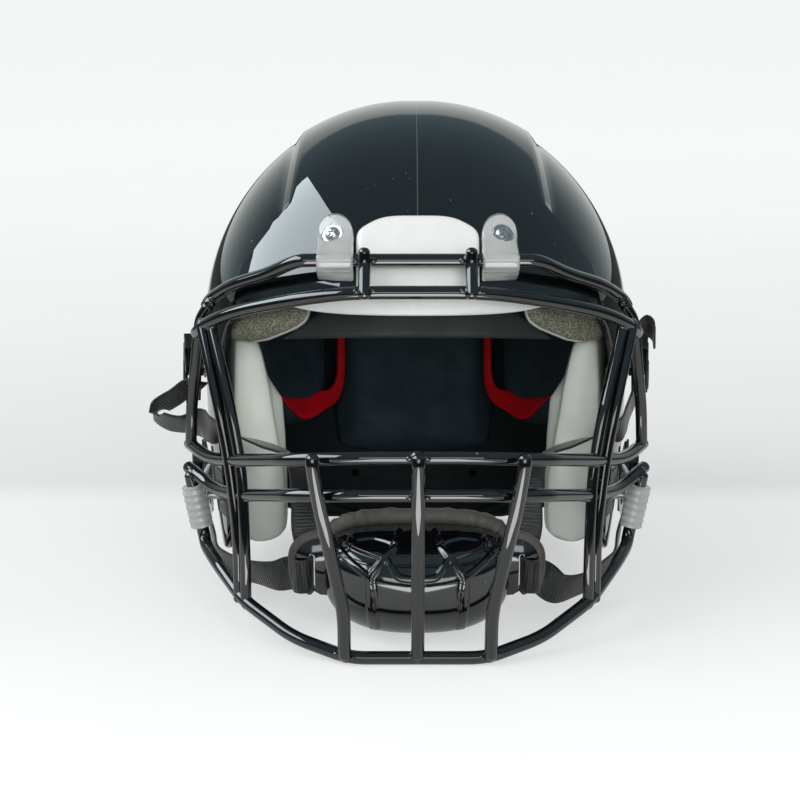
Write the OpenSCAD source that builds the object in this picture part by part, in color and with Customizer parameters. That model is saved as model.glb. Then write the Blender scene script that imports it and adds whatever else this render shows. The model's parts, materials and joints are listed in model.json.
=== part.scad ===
// Football helmet with a swing-up face guard, standing on its chin wire and rear rim.
// Millimetres. +Z is up, the face looks along -Y, and +X is the viewer's right.

/* [Shell] */
// Width of the shell over the ears
shell_w = 233; // [215:1:250]
// Length of the shell along its own base
shell_len = 264; // [250:1:280]
// Height of the crown above the widest ring
crown_h = 122; // [118:1:130]
// Thickness of the shell wall
wall = 4; // [3:0.25:5]
// Roundness of the shell seen from above: 2 is an ellipse and more is boxier
fullness = 2.3; // [2.2:0.05:2.5]
// Roundness of the shell seen from the front
roundness = 2; // [2:0.05:2.3]
// Lean of the helmet as it rests on its chin wire
lean = 14; // [12:0.5:16]
// Height that the centre panel stands proud of the flanks
panel_rise = 2.5; // [1.5:0.25:3.5]
// Half width of the centre panel at the crown
panel_half_w = 57; // [50:1:62]
// Diameter of an ear hole
ear_hole_d = 30; // [24:1:34]
// Length of a crown vent slot
vent_len = 24; // [16:1:28]
// Width of a crown vent slot
vent_w = 7; // [5:0.5:9]

/* [Face guard] */
// Diameter of the coated wire
wire_d = 6.7; // [5.5:0.1:7.5]
// Half length of the straight middle of the upper brow wire
brow_straight = 55; // [54:1:58]
// Height of the upper brow wire, which is the swing axis
brow_z = 195.5; // [194:0.5:199]
// Gap between the upper brow wire and the white plate behind it
brow_gap = 0.76; // [0.4:0.02:1.5]
// Drop from the upper to the lower brow wire
brow_drop = 13.5; // [12:0.5:15]
// Half distance between the two brow posts
post_x = 26; // [22:0.5:28]
// Reach of the guard's nose wires
nose_reach = 163; // [160:1:168]
// Height of the upper nose wire
nose_z = 109; // [105:1:113]
// Drop from the upper to the lower nose wire
nose_drop = 18.5; // [16:0.5:21]
// Half spread of the front uprights at the nose wire
upright_top_x = 50; // [44:1:54]
// Half spread of the front uprights at the chin wire
upright_foot_x = 36; // [32:1:40]
// Distance by which the side wires stand off the shell's widest half
guard_gap = 3.5; // [2.5:0.5:5.5]
// Distance of the side loops in front of the shell's own origin
loop_reach = 60; // [58:1:62]

/* [Clips and screws] */
// Radial clearance of a wire in a clip's bore
clip_play = 0.08; // [0.05:0.01:0.1]
// Width of a top clip
top_clip_w = 18; // [17:0.5:19]
// Distance of a top clip's middle from the centre line
top_clip_x = 40.5; // [40:0.5:42]
// Height of a top clip screw
top_screw_z = 203.5; // [202:0.5:205]
// Wall of a clip round its wire
clip_wall = 2.8; // [2:0.2:3.2]
// Thickness of a side clip's plate
side_plate = 3; // [2.5:0.25:3.5]
// Diameter of a screw's shank
screw_d = 4.8; // [4:0.1:5.4]
// Diameter of a screw's head
head_d = 9.6; // [8.6:0.2:10.4]
// Height of a screw's head
head_h = 2.6; // [2:0.2:3]
// Clearance of a shank in its hole, across the diameter
hole_play = 0.6; // [0.3:0.1:1]

/* [Chin cup and straps] */
// Width of the chin cup
cup_w = 96; // [90:1:98]
// Height of the chin cup
cup_h = 57; // [52:1:58]
// Depth of the chin cup
cup_deep = 41; // [36:1:42]
// Wall of the chin cup
cup_wall = 3; // [2:0.25:3.5]
// Thickness of the padded cup inside it
cup_pad = 7; // [5:0.5:9]
// Width of the webbing
strap_w = 18; // [15:0.5:19]
// Thickness of the webbing
strap_t = 1.3; // [1:0.1:1.5]
// Length of a buckle
buckle_len = 32; // [28:1:36]
// Diameter of a buckle's hinge pin
pin_d = 2.4; // [2:0.1:2.8]

/* [Padding] */
// Gap between the shell and a pad
pad_gap = 0.8; // [0.75:0.05:0.95]
// Thickness of the brow cushion
brow_pad_t = 20; // [16:1:24]
// Thickness of a temple pad
temple_pad_t = 16; // [12:1:20]
// Thickness of the head liner
liner_t = 26; // [22:1:28]
// Thickness of a jaw pad
jaw_pad_t = 28; // [22:1:30]

/* [Hidden] */

// Shell surface: a rounded dome in the helmet's own frame, over nearly straight flanks
half_w = shell_w / 2;
half_len = shell_len / 2;
ring_y = -20;
ring_z = 137;
flank_h = 300;
sectors = 48;
tiny = 0.01;

function unit(v) = v / norm(v);
function spow(v, p) = sign(v) * pow(abs(v), p);
function mirrored(p) = [-p.x, p.y, p.z];

// From the helmet's own frame to the standing frame, and back
function stand(p) = [p.x, p.y * cos(lean) + p.z * sin(lean), p.z * cos(lean) - p.y * sin(lean)];
function unstand(p) = [p.x, p.y * cos(lean) - p.z * sin(lean), p.y * sin(lean) + p.z * cos(lean)];

// Share of the ring's width that is left at a height above or below it
function left_of(share, k) = pow(max(tiny, 1 - pow(abs(share), k)), 1 / k);
function drop_of(up, off) = up / ((up > 0 ? crown_h : flank_h) + off);

// Point of the dome: azimuth from the face, e in degrees above the ring or millimetres below it
function dome(az, e, off) = let (p = 2 / fullness, up = (crown_h + off) * pow(sin(max(e, 0)), 2 / roundness),
    f = e > 0 ? pow(cos(e), 2 / roundness) : left_of(e / (flank_h + off), roundness)) stand([
    (half_w + off) * f * spow(sin(az), p), ring_y - (half_len + off) * f * spow(cos(az), p),
    ring_z + (e > 0 ? up : e)]);

// Half width of the dome at a standing y and z
function side_x(y, z, off) = let (w = unstand([0, y, z]), f = left_of(drop_of(w.z - ring_z, off), roundness))
    (half_w + off) * f * left_of(min(1, abs(w.y - ring_y) / ((half_len + off) * f)), fullness);

// Front of the dome at a standing x and z, by halving
function outside(p, off) = let (w = unstand(p), f = left_of(drop_of(w.z - ring_z, off), roundness),
    across_share = abs(w.x / (half_w + off)), along_share = abs((w.y - ring_y) / (half_len + off)))
    pow(across_share, fullness) + pow(along_share, fullness) > pow(f, fullness);
function find_y(x, z, off, far, near, n) = let (mid = (far + near) / 2) n == 0 ? mid
    : outside([x, mid, z], off) ? find_y(x, z, off, mid, near, n - 1) : find_y(x, z, off, far, mid, n - 1);
function front_y(x, z, off) = find_y(x, z, off, -300, 20, 24);
function rear_y(x, z, off) = find_y(x, z, off, 300, 20, 24);

// Direction that points out of the dome
function out_dir(p) = let (w = unstand(p), u = w.x / half_w, v = (w.y - ring_y) / half_len,
    lean_in = pow(pow(abs(u), fullness) + pow(abs(v), fullness), roundness / fullness - 1),
    cz = w.z > ring_z ? crown_h : flank_h) unit(stand([
    lean_in * spow(u, fullness - 1) / half_w, lean_in * spow(v, fullness - 1) / half_len,
    spow((w.z - ring_z) / cz, roundness - 1) / cz]));

// The box of the whole helmet is centred on the origin along Y
rear_reach = max([for (e = [0 : 5 : 60]) dome(180, e, panel_rise).y]);
front_reach = nose_reach + wire_d * 1.5;
centre_y = (front_reach - rear_reach) / 2;

// Seats that several pieces share
seat = panel_rise + 0.4;
bumper_t = 2.4;
wire_r = wire_d / 2;
bore_r = wire_r + clip_play;
brow_y = round(10 * (wire_r + brow_gap - front_y(0, brow_z, seat + bumper_t))) / 10;
guard_half_w = half_w + guard_gap;
inner = -wall - pad_gap;
top_screw = [top_clip_x, front_y(top_clip_x, top_screw_z, panel_rise), top_screw_z];
top_clip_t = 4.5;
side_screw = [0, -48, 57];
side_rear_y = -35;
side_low_z = 43;
side_high_z = 71;
side_plane = side_x(side_rear_y, side_high_z, 0) + 0.6;
nut_t = 3;
nut_d = 13;
nut_gap = 1.6;
side_nut_gap = 2.2;
steel = [0.75, 0.76, 0.78];
clear = [0.86, 0.90, 0.92, 0.6];
navy = [0.12, 0.16, 0.19];
web_black = [0.05, 0.05, 0.05];
upper_stud_yz = [-24, 124];
lower_stud_yz = [-6, 56];
upper_pull = [0, -0.80, -0.60];
lower_pull = [0, -0.81, -0.585];
cup_mid_z = 1 + cup_h / 2;
cup_edge_y = -94;

// Solid whose walls run through rings of points, closed by a flat cap at each end
module loft(rings) {
    n = len(rings[0]);
    last = (len(rings) - 1) * n;
    points = [for (r = rings) each r];
    walls = [for (j = [0 : len(rings) - 2], i = [0 : n - 1]) let (k = (i + 1) % n)
        each [[j * n + i, (j + 1) * n + k, j * n + k], [j * n + i, (j + 1) * n + i, (j + 1) * n + k]]];
    first_cap = [for (i = [0 : n - 1]) i];
    last_cap = [for (i = [n - 1 : -1 : 0]) last + i];
    polyhedron(points, concat([first_cap], walls, [last_cap]), convexity = 10);
}

// Joins everything inside it into one closed mesh
module meshed() {
    resize([0, 0, 0]) union() children();
}

// Round wire through a list of points
function headings(path) = let (m = len(path) - 1)
    [for (i = [0 : m]) unit(path[min(i + 1, m)] - path[max(i - 1, 0)])];
function carried(dirs, side, i = 0) = i == len(dirs) ? []
    : let (s = unit(side - (side * dirs[i]) * dirs[i])) concat([s], carried(dirs, s, i + 1));
module wire(path, r, side = [0, 0, 1], sides = 8) {
    dirs = headings(path);
    ups = carried(dirs, side);
    loft([for (i = [0 : len(path) - 1]) let (a = ups[i], b = cross(dirs[i], a))
        [for (k = [0 : sides - 1]) path[i] + r * (cos(k * 360 / sides) * a + sin(k * 360 / sides) * b)]]);
}

// Rounds the corners of a route over a given length
function rounded(route, cut, steps = 4) = let (m = len(route) - 1)
    [for (i = [0 : m]) each (i == 0 || i == m) ? [route[i]]
        : let (p = route[i], before = route[i - 1] - p, after = route[i + 1] - p,
            a = p + before * min(0.46, cut / norm(before)), b = p + after * min(0.46, cut / norm(after)))
            [for (k = [0 : steps]) let (t = k / steps)
                a * (1 - t) * (1 - t) + p * 2 * t * (1 - t) + b * t * t]];
function both_sides(half) = concat([for (i = [len(half) - 1 : -1 : 0]) mirrored(half[i])], half);

// Flat webbing through a list of points; each width direction goes with its point
module webbing(path, wides) {
    dirs = headings(path);
    loft([for (i = [0 : len(path) - 1]) let (w = unit(wides[i] - (wides[i] * dirs[i]) * dirs[i]),
        n = cross(dirs[i], w), a = w * strap_w / 2, b = n * strap_t / 2)
        [path[i] - a - b, path[i] + a - b, path[i] + a + b, path[i] - a + b]]);
}

// Points its children's Z along a direction
module aim(p, dir) {
    translate(p) rotate([0, acos(dir.z), atan2(dir.y, dir.x)]) children();
}

// Turns its children's Z to the helmet's left or right, at a place given for the right side
module sideways(p, side = 1) {
    translate([side * p.x, p.y, p.z]) rotate([0, side * 90, 0]) children();
}
// Puts its children on the shell's surface, or on its mirror image
module on_shell(p, side = 1) {
    at = [side * p.x, p.y, p.z];
    aim(at, out_dir(at)) children();
}

// Closed dome grown from the shell's surface, down to a depth below the ring
module dome_solid(off, low = -136) {
    loft([for (e = concat([low, -100, -60, -25], [for (e = [0 : 9 : 81]) e], [88]))
        [for (i = [0 : sectors - 1]) dome(i * 360 / sectors, e, off)]]);
}
module dome_layer(off_in, off_out) {
    difference() {
        dome_solid(off_out);
        dome_solid(off_in, -140);
    }
}

// Prism with its outline in x and z, running along y
module front_prism(points, y0, y1) {
    translate([0, y1, 0]) rotate([90, 0, 0]) linear_extrude(height = y1 - y0) polygon(points);
}
// Prism with its outline in y and z, running along x
module side_prism(points, half) {
    translate([-half, 0, 0]) rotate([90, 0, 90]) linear_extrude(height = 2 * half) polygon(points);
}

// Cushion: a grid on the shell's inner side that swells towards the head
function swell(s, t, edge) = edge + (1 - edge) * pow((1 - pow(abs(s), 4)) * (1 - pow(abs(t), 4)), 0.5);
module cushion(place, off, thick, cols, rows, edge = 0.3) {
    n = cols + 1;
    m = rows + 1;
    back = [for (j = [0 : rows], i = [0 : cols]) place(i / cols, j / rows, off)];
    face = [for (j = [0 : rows], i = [0 : cols]) let (s = 2 * i / cols - 1, t = 2 * j / rows - 1)
        place(i / cols, j / rows, off - thick * swell(s, t, edge))];
    first = n * m;
    sheet = [for (j = [0 : rows - 1], i = [0 : cols - 1]) let (a = j * n + i)
        each [[a, a + 1, a + n + 1], [a, a + n + 1, a + n]]];
    under = [for (f = sheet) [first + f[0], first + f[2], first + f[1]]];
    rim = concat([for (i = [0 : cols - 1]) i], [for (j = [0 : rows - 1]) j * n + cols],
        [for (i = [cols : -1 : 1]) rows * n + i], [for (j = [rows : -1 : 1]) j * n]);
    sides = [for (k = [0 : len(rim) - 1]) let (a = rim[k], b = rim[(k + 1) % len(rim)])
        each [[a, first + a, first + b], [a, first + b, b]]];
    polyhedron(concat(back, face), concat(sheet, under, sides), convexity = 10);
}
// A patch of the dome between two azimuths and two heights
function patch(az0, az1, e0, e1) = function (s, t, off) dome(az1 + (az0 - az1) * s, e0 + (e1 - e0) * t, off);

// Shell with its raised centre panel, face opening, ear holes and vents
base_outline = [[-260, 172], [-106, 171], [-82, 166], [-69, 160], [-61, 150], [-57, 134], [-56, 118],
    [-60, 92], [-66, 68], [-68, 50], [-65, 37], [-56, 29], [-44, 26], [-10, 24], [50, 21], [78, 13],
    [94, 0], [260, 0], [260, 300], [-260, 300]];
panel_edge = [[panel_half_w, 300], [panel_half_w + 5, 245], [panel_half_w + 9, 214], [90, 183], [96, 150]];
rear_panel_edge = [[panel_half_w, 300], [panel_half_w, 200], [44, 90], [36, 56]];
function both_edges(edge) = concat(edge, [for (i = [len(edge) - 1 : -1 : 0]) [-edge[i][0], edge[i][1]]]);
vents = [[66, 14], [62, 84]];
ear_at = [0, 15, 100];

module shell() {
    color([0.03, 0.035, 0.035]) meshed() difference() {
        intersection() {
            difference() {
                union() {
                    dome_solid(0);
                    intersection() {
                        dome_solid(panel_rise);
                        union() {
                            front_prism(both_edges(panel_edge), -260, 46);
                            front_prism(both_edges(rear_panel_edge), 45, 260);
                        }
                    }
                }
                dome_solid(-wall, -140);
            }
            side_prism(base_outline, 200);
        }
        for (side = [-1, 1]) {
            sideways(ear_at, side) cylinder(d = ear_hole_d, h = 200, $fn = 32);
            for (v = vents) vent_slot(side * v.x, v.y);
            on_shell(top_screw, side) screw_hole(30, 20);
            sideways(side_screw, side) screw_hole(400, 20);
            on_shell(rear_screw, side) screw_hole(20, 20);
        }
        for (e = valve_heights) on_shell(dome(180, e, 0))
            cylinder(d = valve_d + hole_play, h = 30, center = true, $fn = 24);
    }
}
module vent_slot(x, y) {
    translate([x, y, 150]) rotate([0, 0, sign(x) * -8]) linear_extrude(height = 150) hull() {
        translate([0, -(vent_len - vent_w) / 2]) circle(d = vent_w, $fn = 20);
        translate([0, (vent_len - vent_w) / 2]) circle(d = vent_w, $fn = 20);
    }
}

// White plate between the top clips, with a lip that follows the brow edge
plate_half_w = top_clip_x - top_clip_w / 2 - 1.2;
module front_bumper() {
    outline = [[-62, 171], [-58, 168.5], [58, 168.5], [62, 171], [50, 177], [plate_half_w, 179.5],
        [plate_half_w, 206], [plate_half_w - 5, 211.5], [plate_half_w - 15, 214], [0, 215],
        [15 - plate_half_w, 214], [5 - plate_half_w, 211.5], [-plate_half_w, 206],
        [-plate_half_w, 179.5], [-50, 177]];
    color([0.93, 0.94, 0.94]) meshed() intersection() {
        dome_layer(seat, seat + bumper_t);
        front_prism(outline, -200, -20);
    }
}

// Strip round the rear rim, and its screws
rear_low_z = 8;
rear_high_z = 40;
rear_half_w = 54;
rear_corner = 8;
rear_screw_x = 38;
rear_screw_z = (rear_low_z + rear_high_z) / 2;
rear_screw = [rear_screw_x, rear_y(rear_screw_x, rear_screw_z, 0), rear_screw_z];
module rear_bumper() {
    edge = [[rear_half_w - rear_corner, rear_high_z], [rear_half_w, rear_high_z - rear_corner],
        [rear_half_w, rear_low_z + rear_corner], [rear_half_w - rear_corner, rear_low_z]];
    color([0.08, 0.08, 0.085]) meshed() difference() {
        intersection() {
            dome_layer(0.4, 0.4 + bumper_t);
            front_prism(both_edges(edge), 40, 260);
        }
        for (side = [-1, 1]) on_shell(rear_screw, side) screw_hole(30, 20);
    }
}

module screw_hole(deep, facets) {
    cylinder(d = screw_d + hole_play, h = deep, center = true, $fn = facets);
}

// Pan-head screw with a cross recess, its head's seat at z = 0 and its shank below
module screw(shank) {
    rim_h = head_h * 0.55;
    difference() {
        union() {
            cylinder(d = head_d, h = rim_h, $fn = 32);
            translate([0, 0, rim_h]) cylinder(d1 = head_d, d2 = head_d * 0.72, h = head_h - rim_h, $fn = 32);
            translate([0, 0, -shank]) cylinder(d = screw_d, h = shank + tiny, $fn = 32);
        }
        for (turn = [45, 135]) rotate([0, 0, turn])
            translate([-head_d * 0.28, -0.6, head_h - 1.3]) cube([head_d * 0.56, 1.2, 2]);
    }
}
// Flanged nut inside the shell, its face at z = 0 and its flange below
module nut() {
    difference() {
        translate([0, 0, -nut_t]) cylinder(d = nut_d, h = nut_t, $fn = 32);
        translate([0, 0, -nut_t - 1]) cylinder(d = screw_d + 0.2, h = nut_t + 2, $fn = 32);
    }
}
module rear_bumper_screws() {
    color(steel) for (side = [-1, 1])
        on_shell(rear_screw, side) translate([0, 0, bumper_t + 0.9]) screw(bumper_t + wall + 2);
}

// Clear saddle on the shell that holds the upper brow wire
module top_clip(side) {
    x0 = top_clip_x - top_clip_w / 2;
    low = brow_z - bore_r - clip_wall - 5;
    top = top_screw_z + 11.5;
    r = top_clip_w / 2;
    arc = [for (a = [0 : 20 : 180]) [top_clip_x + (top_clip_w / 2) * cos(a), top - r + r * sin(a)]];
    outline = [for (p = concat([[x0, low], [x0 + top_clip_w, low]], arc)) [side * p[0], p[1]]];
    mid = side * top_clip_x;
    color(clear) difference() {
        meshed() difference() {
            union() {
                intersection() {
                    dome_solid(seat + top_clip_t);
                    front_prism(outline, -200, -20);
                }
                intersection() {
                    hull() {
                        sideways([mid, -brow_y, brow_z])
                            cylinder(r = bore_r + clip_wall, h = top_clip_w, center = true, $fn = 32);
                        translate([mid, front_y(top_clip_x, brow_z, seat) + 6, brow_z])
                            cube([top_clip_w, 4, 2 * (bore_r + clip_wall) + 4], center = true);
                    }
                    front_prism(outline, -200, -20);
                }
            }
            dome_solid(seat, -140);
        }
        sideways([mid, -brow_y, brow_z]) cylinder(r = bore_r, h = top_clip_w + 4, center = true, $fn = 48);
        on_shell(top_screw, side) screw_hole(40, 32);
        on_shell(top_screw, side) translate([0, 0, top_clip_t]) cylinder(d = head_d + 1.5, h = 20, $fn = 32);
    }
}
module top_clip_left() { top_clip(-1); }
module top_clip_right() { top_clip(1); }
module top_clip_screws() {
    color(steel) for (side = [-1, 1])
        on_shell(top_screw, side) translate([0, 0, top_clip_t + 0.3])
            screw(top_clip_t + panel_rise + wall + nut_t);
}
module top_clip_nuts() {
    color(steel) for (side = [-1, 1])
        on_shell(top_screw, side) translate([0, 0, -panel_rise - wall - nut_gap]) nut();
}

// Screws on the jaw flaps, under whose heads the side clips slide, and their nuts
module side_clip_screws() {
    seat_x = side_plane + side_plate + 0.3;
    shank_end = side_x(side_screw.y, side_screw.z, -wall) - side_nut_gap - nut_t;
    color(steel) for (side = [-1, 1])
        sideways([seat_x, side_screw.y, side_screw.z], side) screw(seat_x - shank_end);
}
module side_clip_nuts() {
    x = side_x(side_screw.y, side_screw.z, -wall) - side_nut_gap;
    color(steel) for (side = [-1, 1]) sideways([x, side_screw.y, side_screw.z], side) nut();
}

// Padding
module front_pad() {
    color([0.23, 0.26, 0.25])
        cushion(patch(-40, 40, -12, 38), -wall - nut_t - nut_gap - 0.3, brow_pad_t, 16, 8);
}
module temple_pad(side) {
    color([0.42, 0.42, 0.37]) if (side > 0) cushion(patch(43, 70, -3, 32), inner, temple_pad_t, 8, 8);
    else cushion(patch(-70, -43, -3, 32), inner, temple_pad_t, 8, 8);
}
module temple_pad_left() { temple_pad(-1); }
module temple_pad_right() { temple_pad(1); }
module crown_liner() {
    heights = [52, 58, 66, 75, 83, 88];
    last = len(heights) - 1;
    function ring(e, off) = [for (i = [0 : 31]) dome(i * 360 / 32, e, off)];
    depths = [0.35, 0.85, 1, 1, 1, 1];
    face = [for (k = [last : -1 : 0]) ring(heights[k], inner - liner_t * depths[k])];
    back = [for (k = [0 : last]) ring(heights[k], inner)];
    color(navy) loft(concat(face, back));
}
module rear_liner() {
    color(navy) cushion(patch(156, 204, -72, 46), inner, liner_t - 2, 10, 11);
}
module side_liner(side) {
    color(navy) if (side > 0) cushion(patch(101, 150, -56, 46), inner, liner_t, 10, 11);
    else cushion(patch(-150, -101, -56, 46), inner, liner_t, 10, 11);
}
module side_liner_left() { side_liner(-1); }
module side_liner_right() { side_liner(1); }

// Red band along the lower and inner edge of each side liner
module red_trim(side) {
    deep = inner - liner_t * 0.62;
    route = rounded([dome(side * 153, 16, deep), dome(side * 153, -46, deep), dome(side * 124, -66, deep),
        dome(side * 103, -58, deep)], 8, 3);
    color([0.69, 0.12, 0.16]) wire(route, 3.2, [0, 0, 1], 8);
}
module red_trim_left() { red_trim(-1); }
module red_trim_right() { red_trim(1); }

// Jaw pads stand off the shell on their snaps, clear of the side clip nuts
jaw_off = -wall - nut_t - 3.6;
function jaw_front(z) = -52 + 0.05 * abs(z - 118) - 0.08 * max(0, 118 - z);
jaw_spot = function (s, t, off) let (z = 30 + 116 * t, y = jaw_front(z) + (50 - 8 * t) * s)
    [-side_x(y, z, off), y, z];
module jaw_pad(side) {
    color([0.73, 0.76, 0.72]) mirror([side > 0 ? 1 : 0, 0, 0])
        cushion(jaw_spot, jaw_off, jaw_pad_t, 10, 12, 0.55);
}
module jaw_pad_left() { jaw_pad(-1); }
module jaw_pad_right() { jaw_pad(1); }
module jaw_pad_snaps() {
    snap_h = -jaw_off - wall - 1.3;
    color([0.20, 0.20, 0.21]) for (side = [-1, 1], yz = [[-32, 122], [-22, 84]])
        on_shell(stud_at(yz), side) translate([0, 0, jaw_off + 0.6]) cylinder(d = 12, h = snap_h, $fn = 32);
}

// Inflation ports at the back of the crown
valve_d = 8;
needle_d = 2.2;
valve_heights = [34, 58];
module air_valves() {
    deep = wall + panel_rise;
    color([0.10, 0.10, 0.10]) for (e = valve_heights)
        aim(dome(180, e, panel_rise), out_dir(dome(180, e, 0))) difference() {
            union() {
                translate([0, 0, 0.4]) cylinder(d = valve_d + 5, h = 1.8, $fn = 40);
                translate([0, 0, -deep]) cylinder(d = valve_d, h = deep + 1, $fn = 40);
            }
            translate([0, 0, -deep - 1]) cylinder(d = needle_d, h = deep + 6, $fn = 32);
        }
}

// Edge rings in the ear holes
module ear_trim() {
    x = side_x(ear_at.y, ear_at.z, -wall) - 0.6;
    color(web_black) for (side = [-1, 1]) sideways([x, ear_at.y, ear_at.z], side) difference() {
        cylinder(d = ear_hole_d - 0.8, h = wall + 1.6, $fn = 48);
        translate([0, 0, -1]) cylinder(d = ear_hole_d - 5.2, h = wall + 4, $fn = 48);
    }
}

// Chin strap studs, buckles and levers
stud_d = 9;
stud_h = 2.6;
buckle_w = strap_w + 6;
plate_z = stud_h + 1;
strap_z = plate_z + 1.6 + 0.2 + strap_t / 2;
barrel_r = 2.6;
lever_t = 1.6;
pin_play = 0.06;
pin_z = strap_z + strap_t / 2 + 0.3 + barrel_r;
pin_x = -buckle_len * 0.22;
lever_len = buckle_len * 0.62;
function stud_at(yz) = [side_x(yz[0], yz[1], 0), yz[0], yz[1]];
function across(yz, pull) = unit(cross(out_dir(stud_at(yz)), pull));
function along(yz, pull) = cross(across(yz, pull), out_dir(stud_at(yz)));

// Local frame of a buckle: x along the strap, y across it, z out of the shell
module on_stud(yz, pull, side) {
    p = stud_at(yz);
    ax = along(yz, pull);
    ay = across(yz, pull);
    az = out_dir(p);
    mirror([side < 0 ? 1 : 0, 0, 0]) multmatrix([[ax.x, ay.x, az.x, p.x], [ax.y, ay.y, az.y, p.y],
        [ax.z, ay.z, az.z, p.z], [0, 0, 0, 1]]) children();
}
module stud() {
    translate([0, 0, 0.4]) cylinder(d = 15, h = 1, $fn = 40);
    translate([0, 0, 1.3]) cylinder(d = stud_d, h = stud_h - 1.3, $fn = 40);
}
module strap_studs() {
    color([0.75, 0.76, 0.78]) for (side = [-1, 1]) {
        on_stud(upper_stud_yz, upper_pull, side) stud();
        on_stud(lower_stud_yz, lower_pull, side) stud();
    }
}
module hinge_rod(r, h, facets) {
    translate([pin_x, 0, pin_z]) rotate([90, 0, 0]) cylinder(r = r, h = h, center = true, $fn = facets);
}
module buckle() {
    rail = (buckle_w - strap_w) / 2 - 0.5;
    translate([-buckle_len / 2, -buckle_w / 2, plate_z]) cube([buckle_len, buckle_w, 1.6]);
    difference() {
        translate([0, 0, 1.7]) cylinder(d = stud_d + 4, h = plate_z - 1.6, $fn = 40);
        translate([0, 0, 1]) cylinder(d = stud_d + 0.8, h = plate_z - 1, $fn = 40);
    }
    for (s = [-1, 1]) difference() {
        translate([pin_x - 5, s > 0 ? buckle_w / 2 - rail : -buckle_w / 2, plate_z + 1.5])
            cube([10, rail, pin_z - plate_z + 0.5]);
        translate([pin_x - 6, -buckle_w, pin_z + pin_d / 2 + 1]) cube([12, 2 * buckle_w, 5]);
    }
    hinge_rod(pin_d / 2, buckle_w - 0.4, 32);
}
module lever() {
    difference() {
        union() {
            hinge_rod(barrel_r, strap_w, 40);
            translate([pin_x, -strap_w / 2, pin_z + barrel_r - lever_t]) cube([lever_len, strap_w, lever_t]);
        }
        hinge_rod(pin_d / 2 + pin_play, strap_w + 2, 40);
    }
}
module upper_buckle_left() { color([0.07, 0.07, 0.07]) on_stud(upper_stud_yz, upper_pull, -1) buckle(); }
module upper_buckle_right() { color([0.07, 0.07, 0.07]) on_stud(upper_stud_yz, upper_pull, 1) buckle(); }
module lower_buckle_left() { color([0.07, 0.07, 0.07]) on_stud(lower_stud_yz, lower_pull, -1) buckle(); }
module lower_buckle_right() { color([0.07, 0.07, 0.07]) on_stud(lower_stud_yz, lower_pull, 1) buckle(); }
module upper_lever_left() { color([0.12, 0.12, 0.12]) on_stud(upper_stud_yz, upper_pull, -1) lever(); }
module upper_lever_right() { color([0.12, 0.12, 0.12]) on_stud(upper_stud_yz, upper_pull, 1) lever(); }
module lower_lever_left() { color([0.12, 0.12, 0.12]) on_stud(lower_stud_yz, lower_pull, -1) lever(); }
module lower_lever_right() { color([0.12, 0.12, 0.12]) on_stud(lower_stud_yz, lower_pull, 1) lever(); }

// Chin cup: a ribbed bowl with wings that carry the straps
wing_x = cup_w / 2 + 18;
function cup_ring(t, grow) = let (f = pow(max(0.02, 1 - pow(max(t, 0), 2.6)), 0.42))
    [for (i = [0 : 25]) let (turn = i * 360 / 26) [(cup_w / 2 + grow) * f * spow(cos(turn), 0.8),
        cup_edge_y - (cup_deep + grow) * t, cup_mid_z + (cup_h / 2 + grow) * f * spow(sin(turn), 0.8)]];
module bowl(grow, back) {
    loft([for (t = [-back, 0, 0.3, 0.5, 0.68, 0.82, 0.92, 0.985]) cup_ring(t, grow)]);
}
wing_outline = [[34, 12], [cup_w / 2 + 2, 14], [wing_x - 6, 18], [wing_x, 25], [wing_x, 42], [wing_x - 6, 49],
    [cup_w / 2 + 2, 50], [34, 47]];
wing_slot = [[wing_x - 13, 20.5], [wing_x - 9, 20.5], [wing_x - 9, 46.5], [wing_x - 13, 46.5]];
module wing_prism(outline, side, y0, y1) {
    front_prism([for (p = outline) [side * p[0], p[1]]], y0, y1);
}
module chin_cup() {
    color([0.03, 0.03, 0.035]) meshed() difference() {
        union() {
            bowl(0, 0.01);
            intersection() {
                bowl(1.6, 0.01);
                union() for (s = [-1, 1]) {
                    cup_rib([[s * 40, 66], [s * 12, 22]]);
                    cup_rib([[s * 4, 66], [s * 32, 8]]);
                }
            }
            for (s = [-1, 1]) wing_prism(wing_outline, s, cup_edge_y - 4, cup_edge_y - 1);
        }
        bowl(-cup_wall, 0.2);
        for (s = [-1, 1]) {
            wing_prism([[10, 52], [28, 52], [23, 43], [13, 38]], s, -200, -100);
            wing_prism(wing_slot, s, -200, 0);
        }
    }
}
module cup_rib(ends) {
    along_rib = ends[1] - ends[0];
    normal = [-along_rib[1], along_rib[0]] / norm(along_rib) * 2.2;
    front_prism([ends[0] + normal, ends[0] - normal, ends[1] - normal, ends[1] + normal], -200, -90);
}
module chin_cup_liner() {
    roll_r = 4.5;
    roll = [for (turn = [-10 : 20 : 190]) [(cup_w / 2 - 1) * spow(cos(turn), 0.8),
        cup_edge_y + roll_r + 0.5, cup_mid_z + (cup_h / 2 + 2) * spow(sin(turn), 0.8)]];
    color([0.35, 0.36, 0.33]) meshed() union() {
        difference() {
            bowl(-cup_wall - 0.3, 0.1);
            bowl(-cup_wall - cup_pad, 0.3);
        }
        wire(roll, roll_r, [0, 1, 0]);
    }
}

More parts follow.
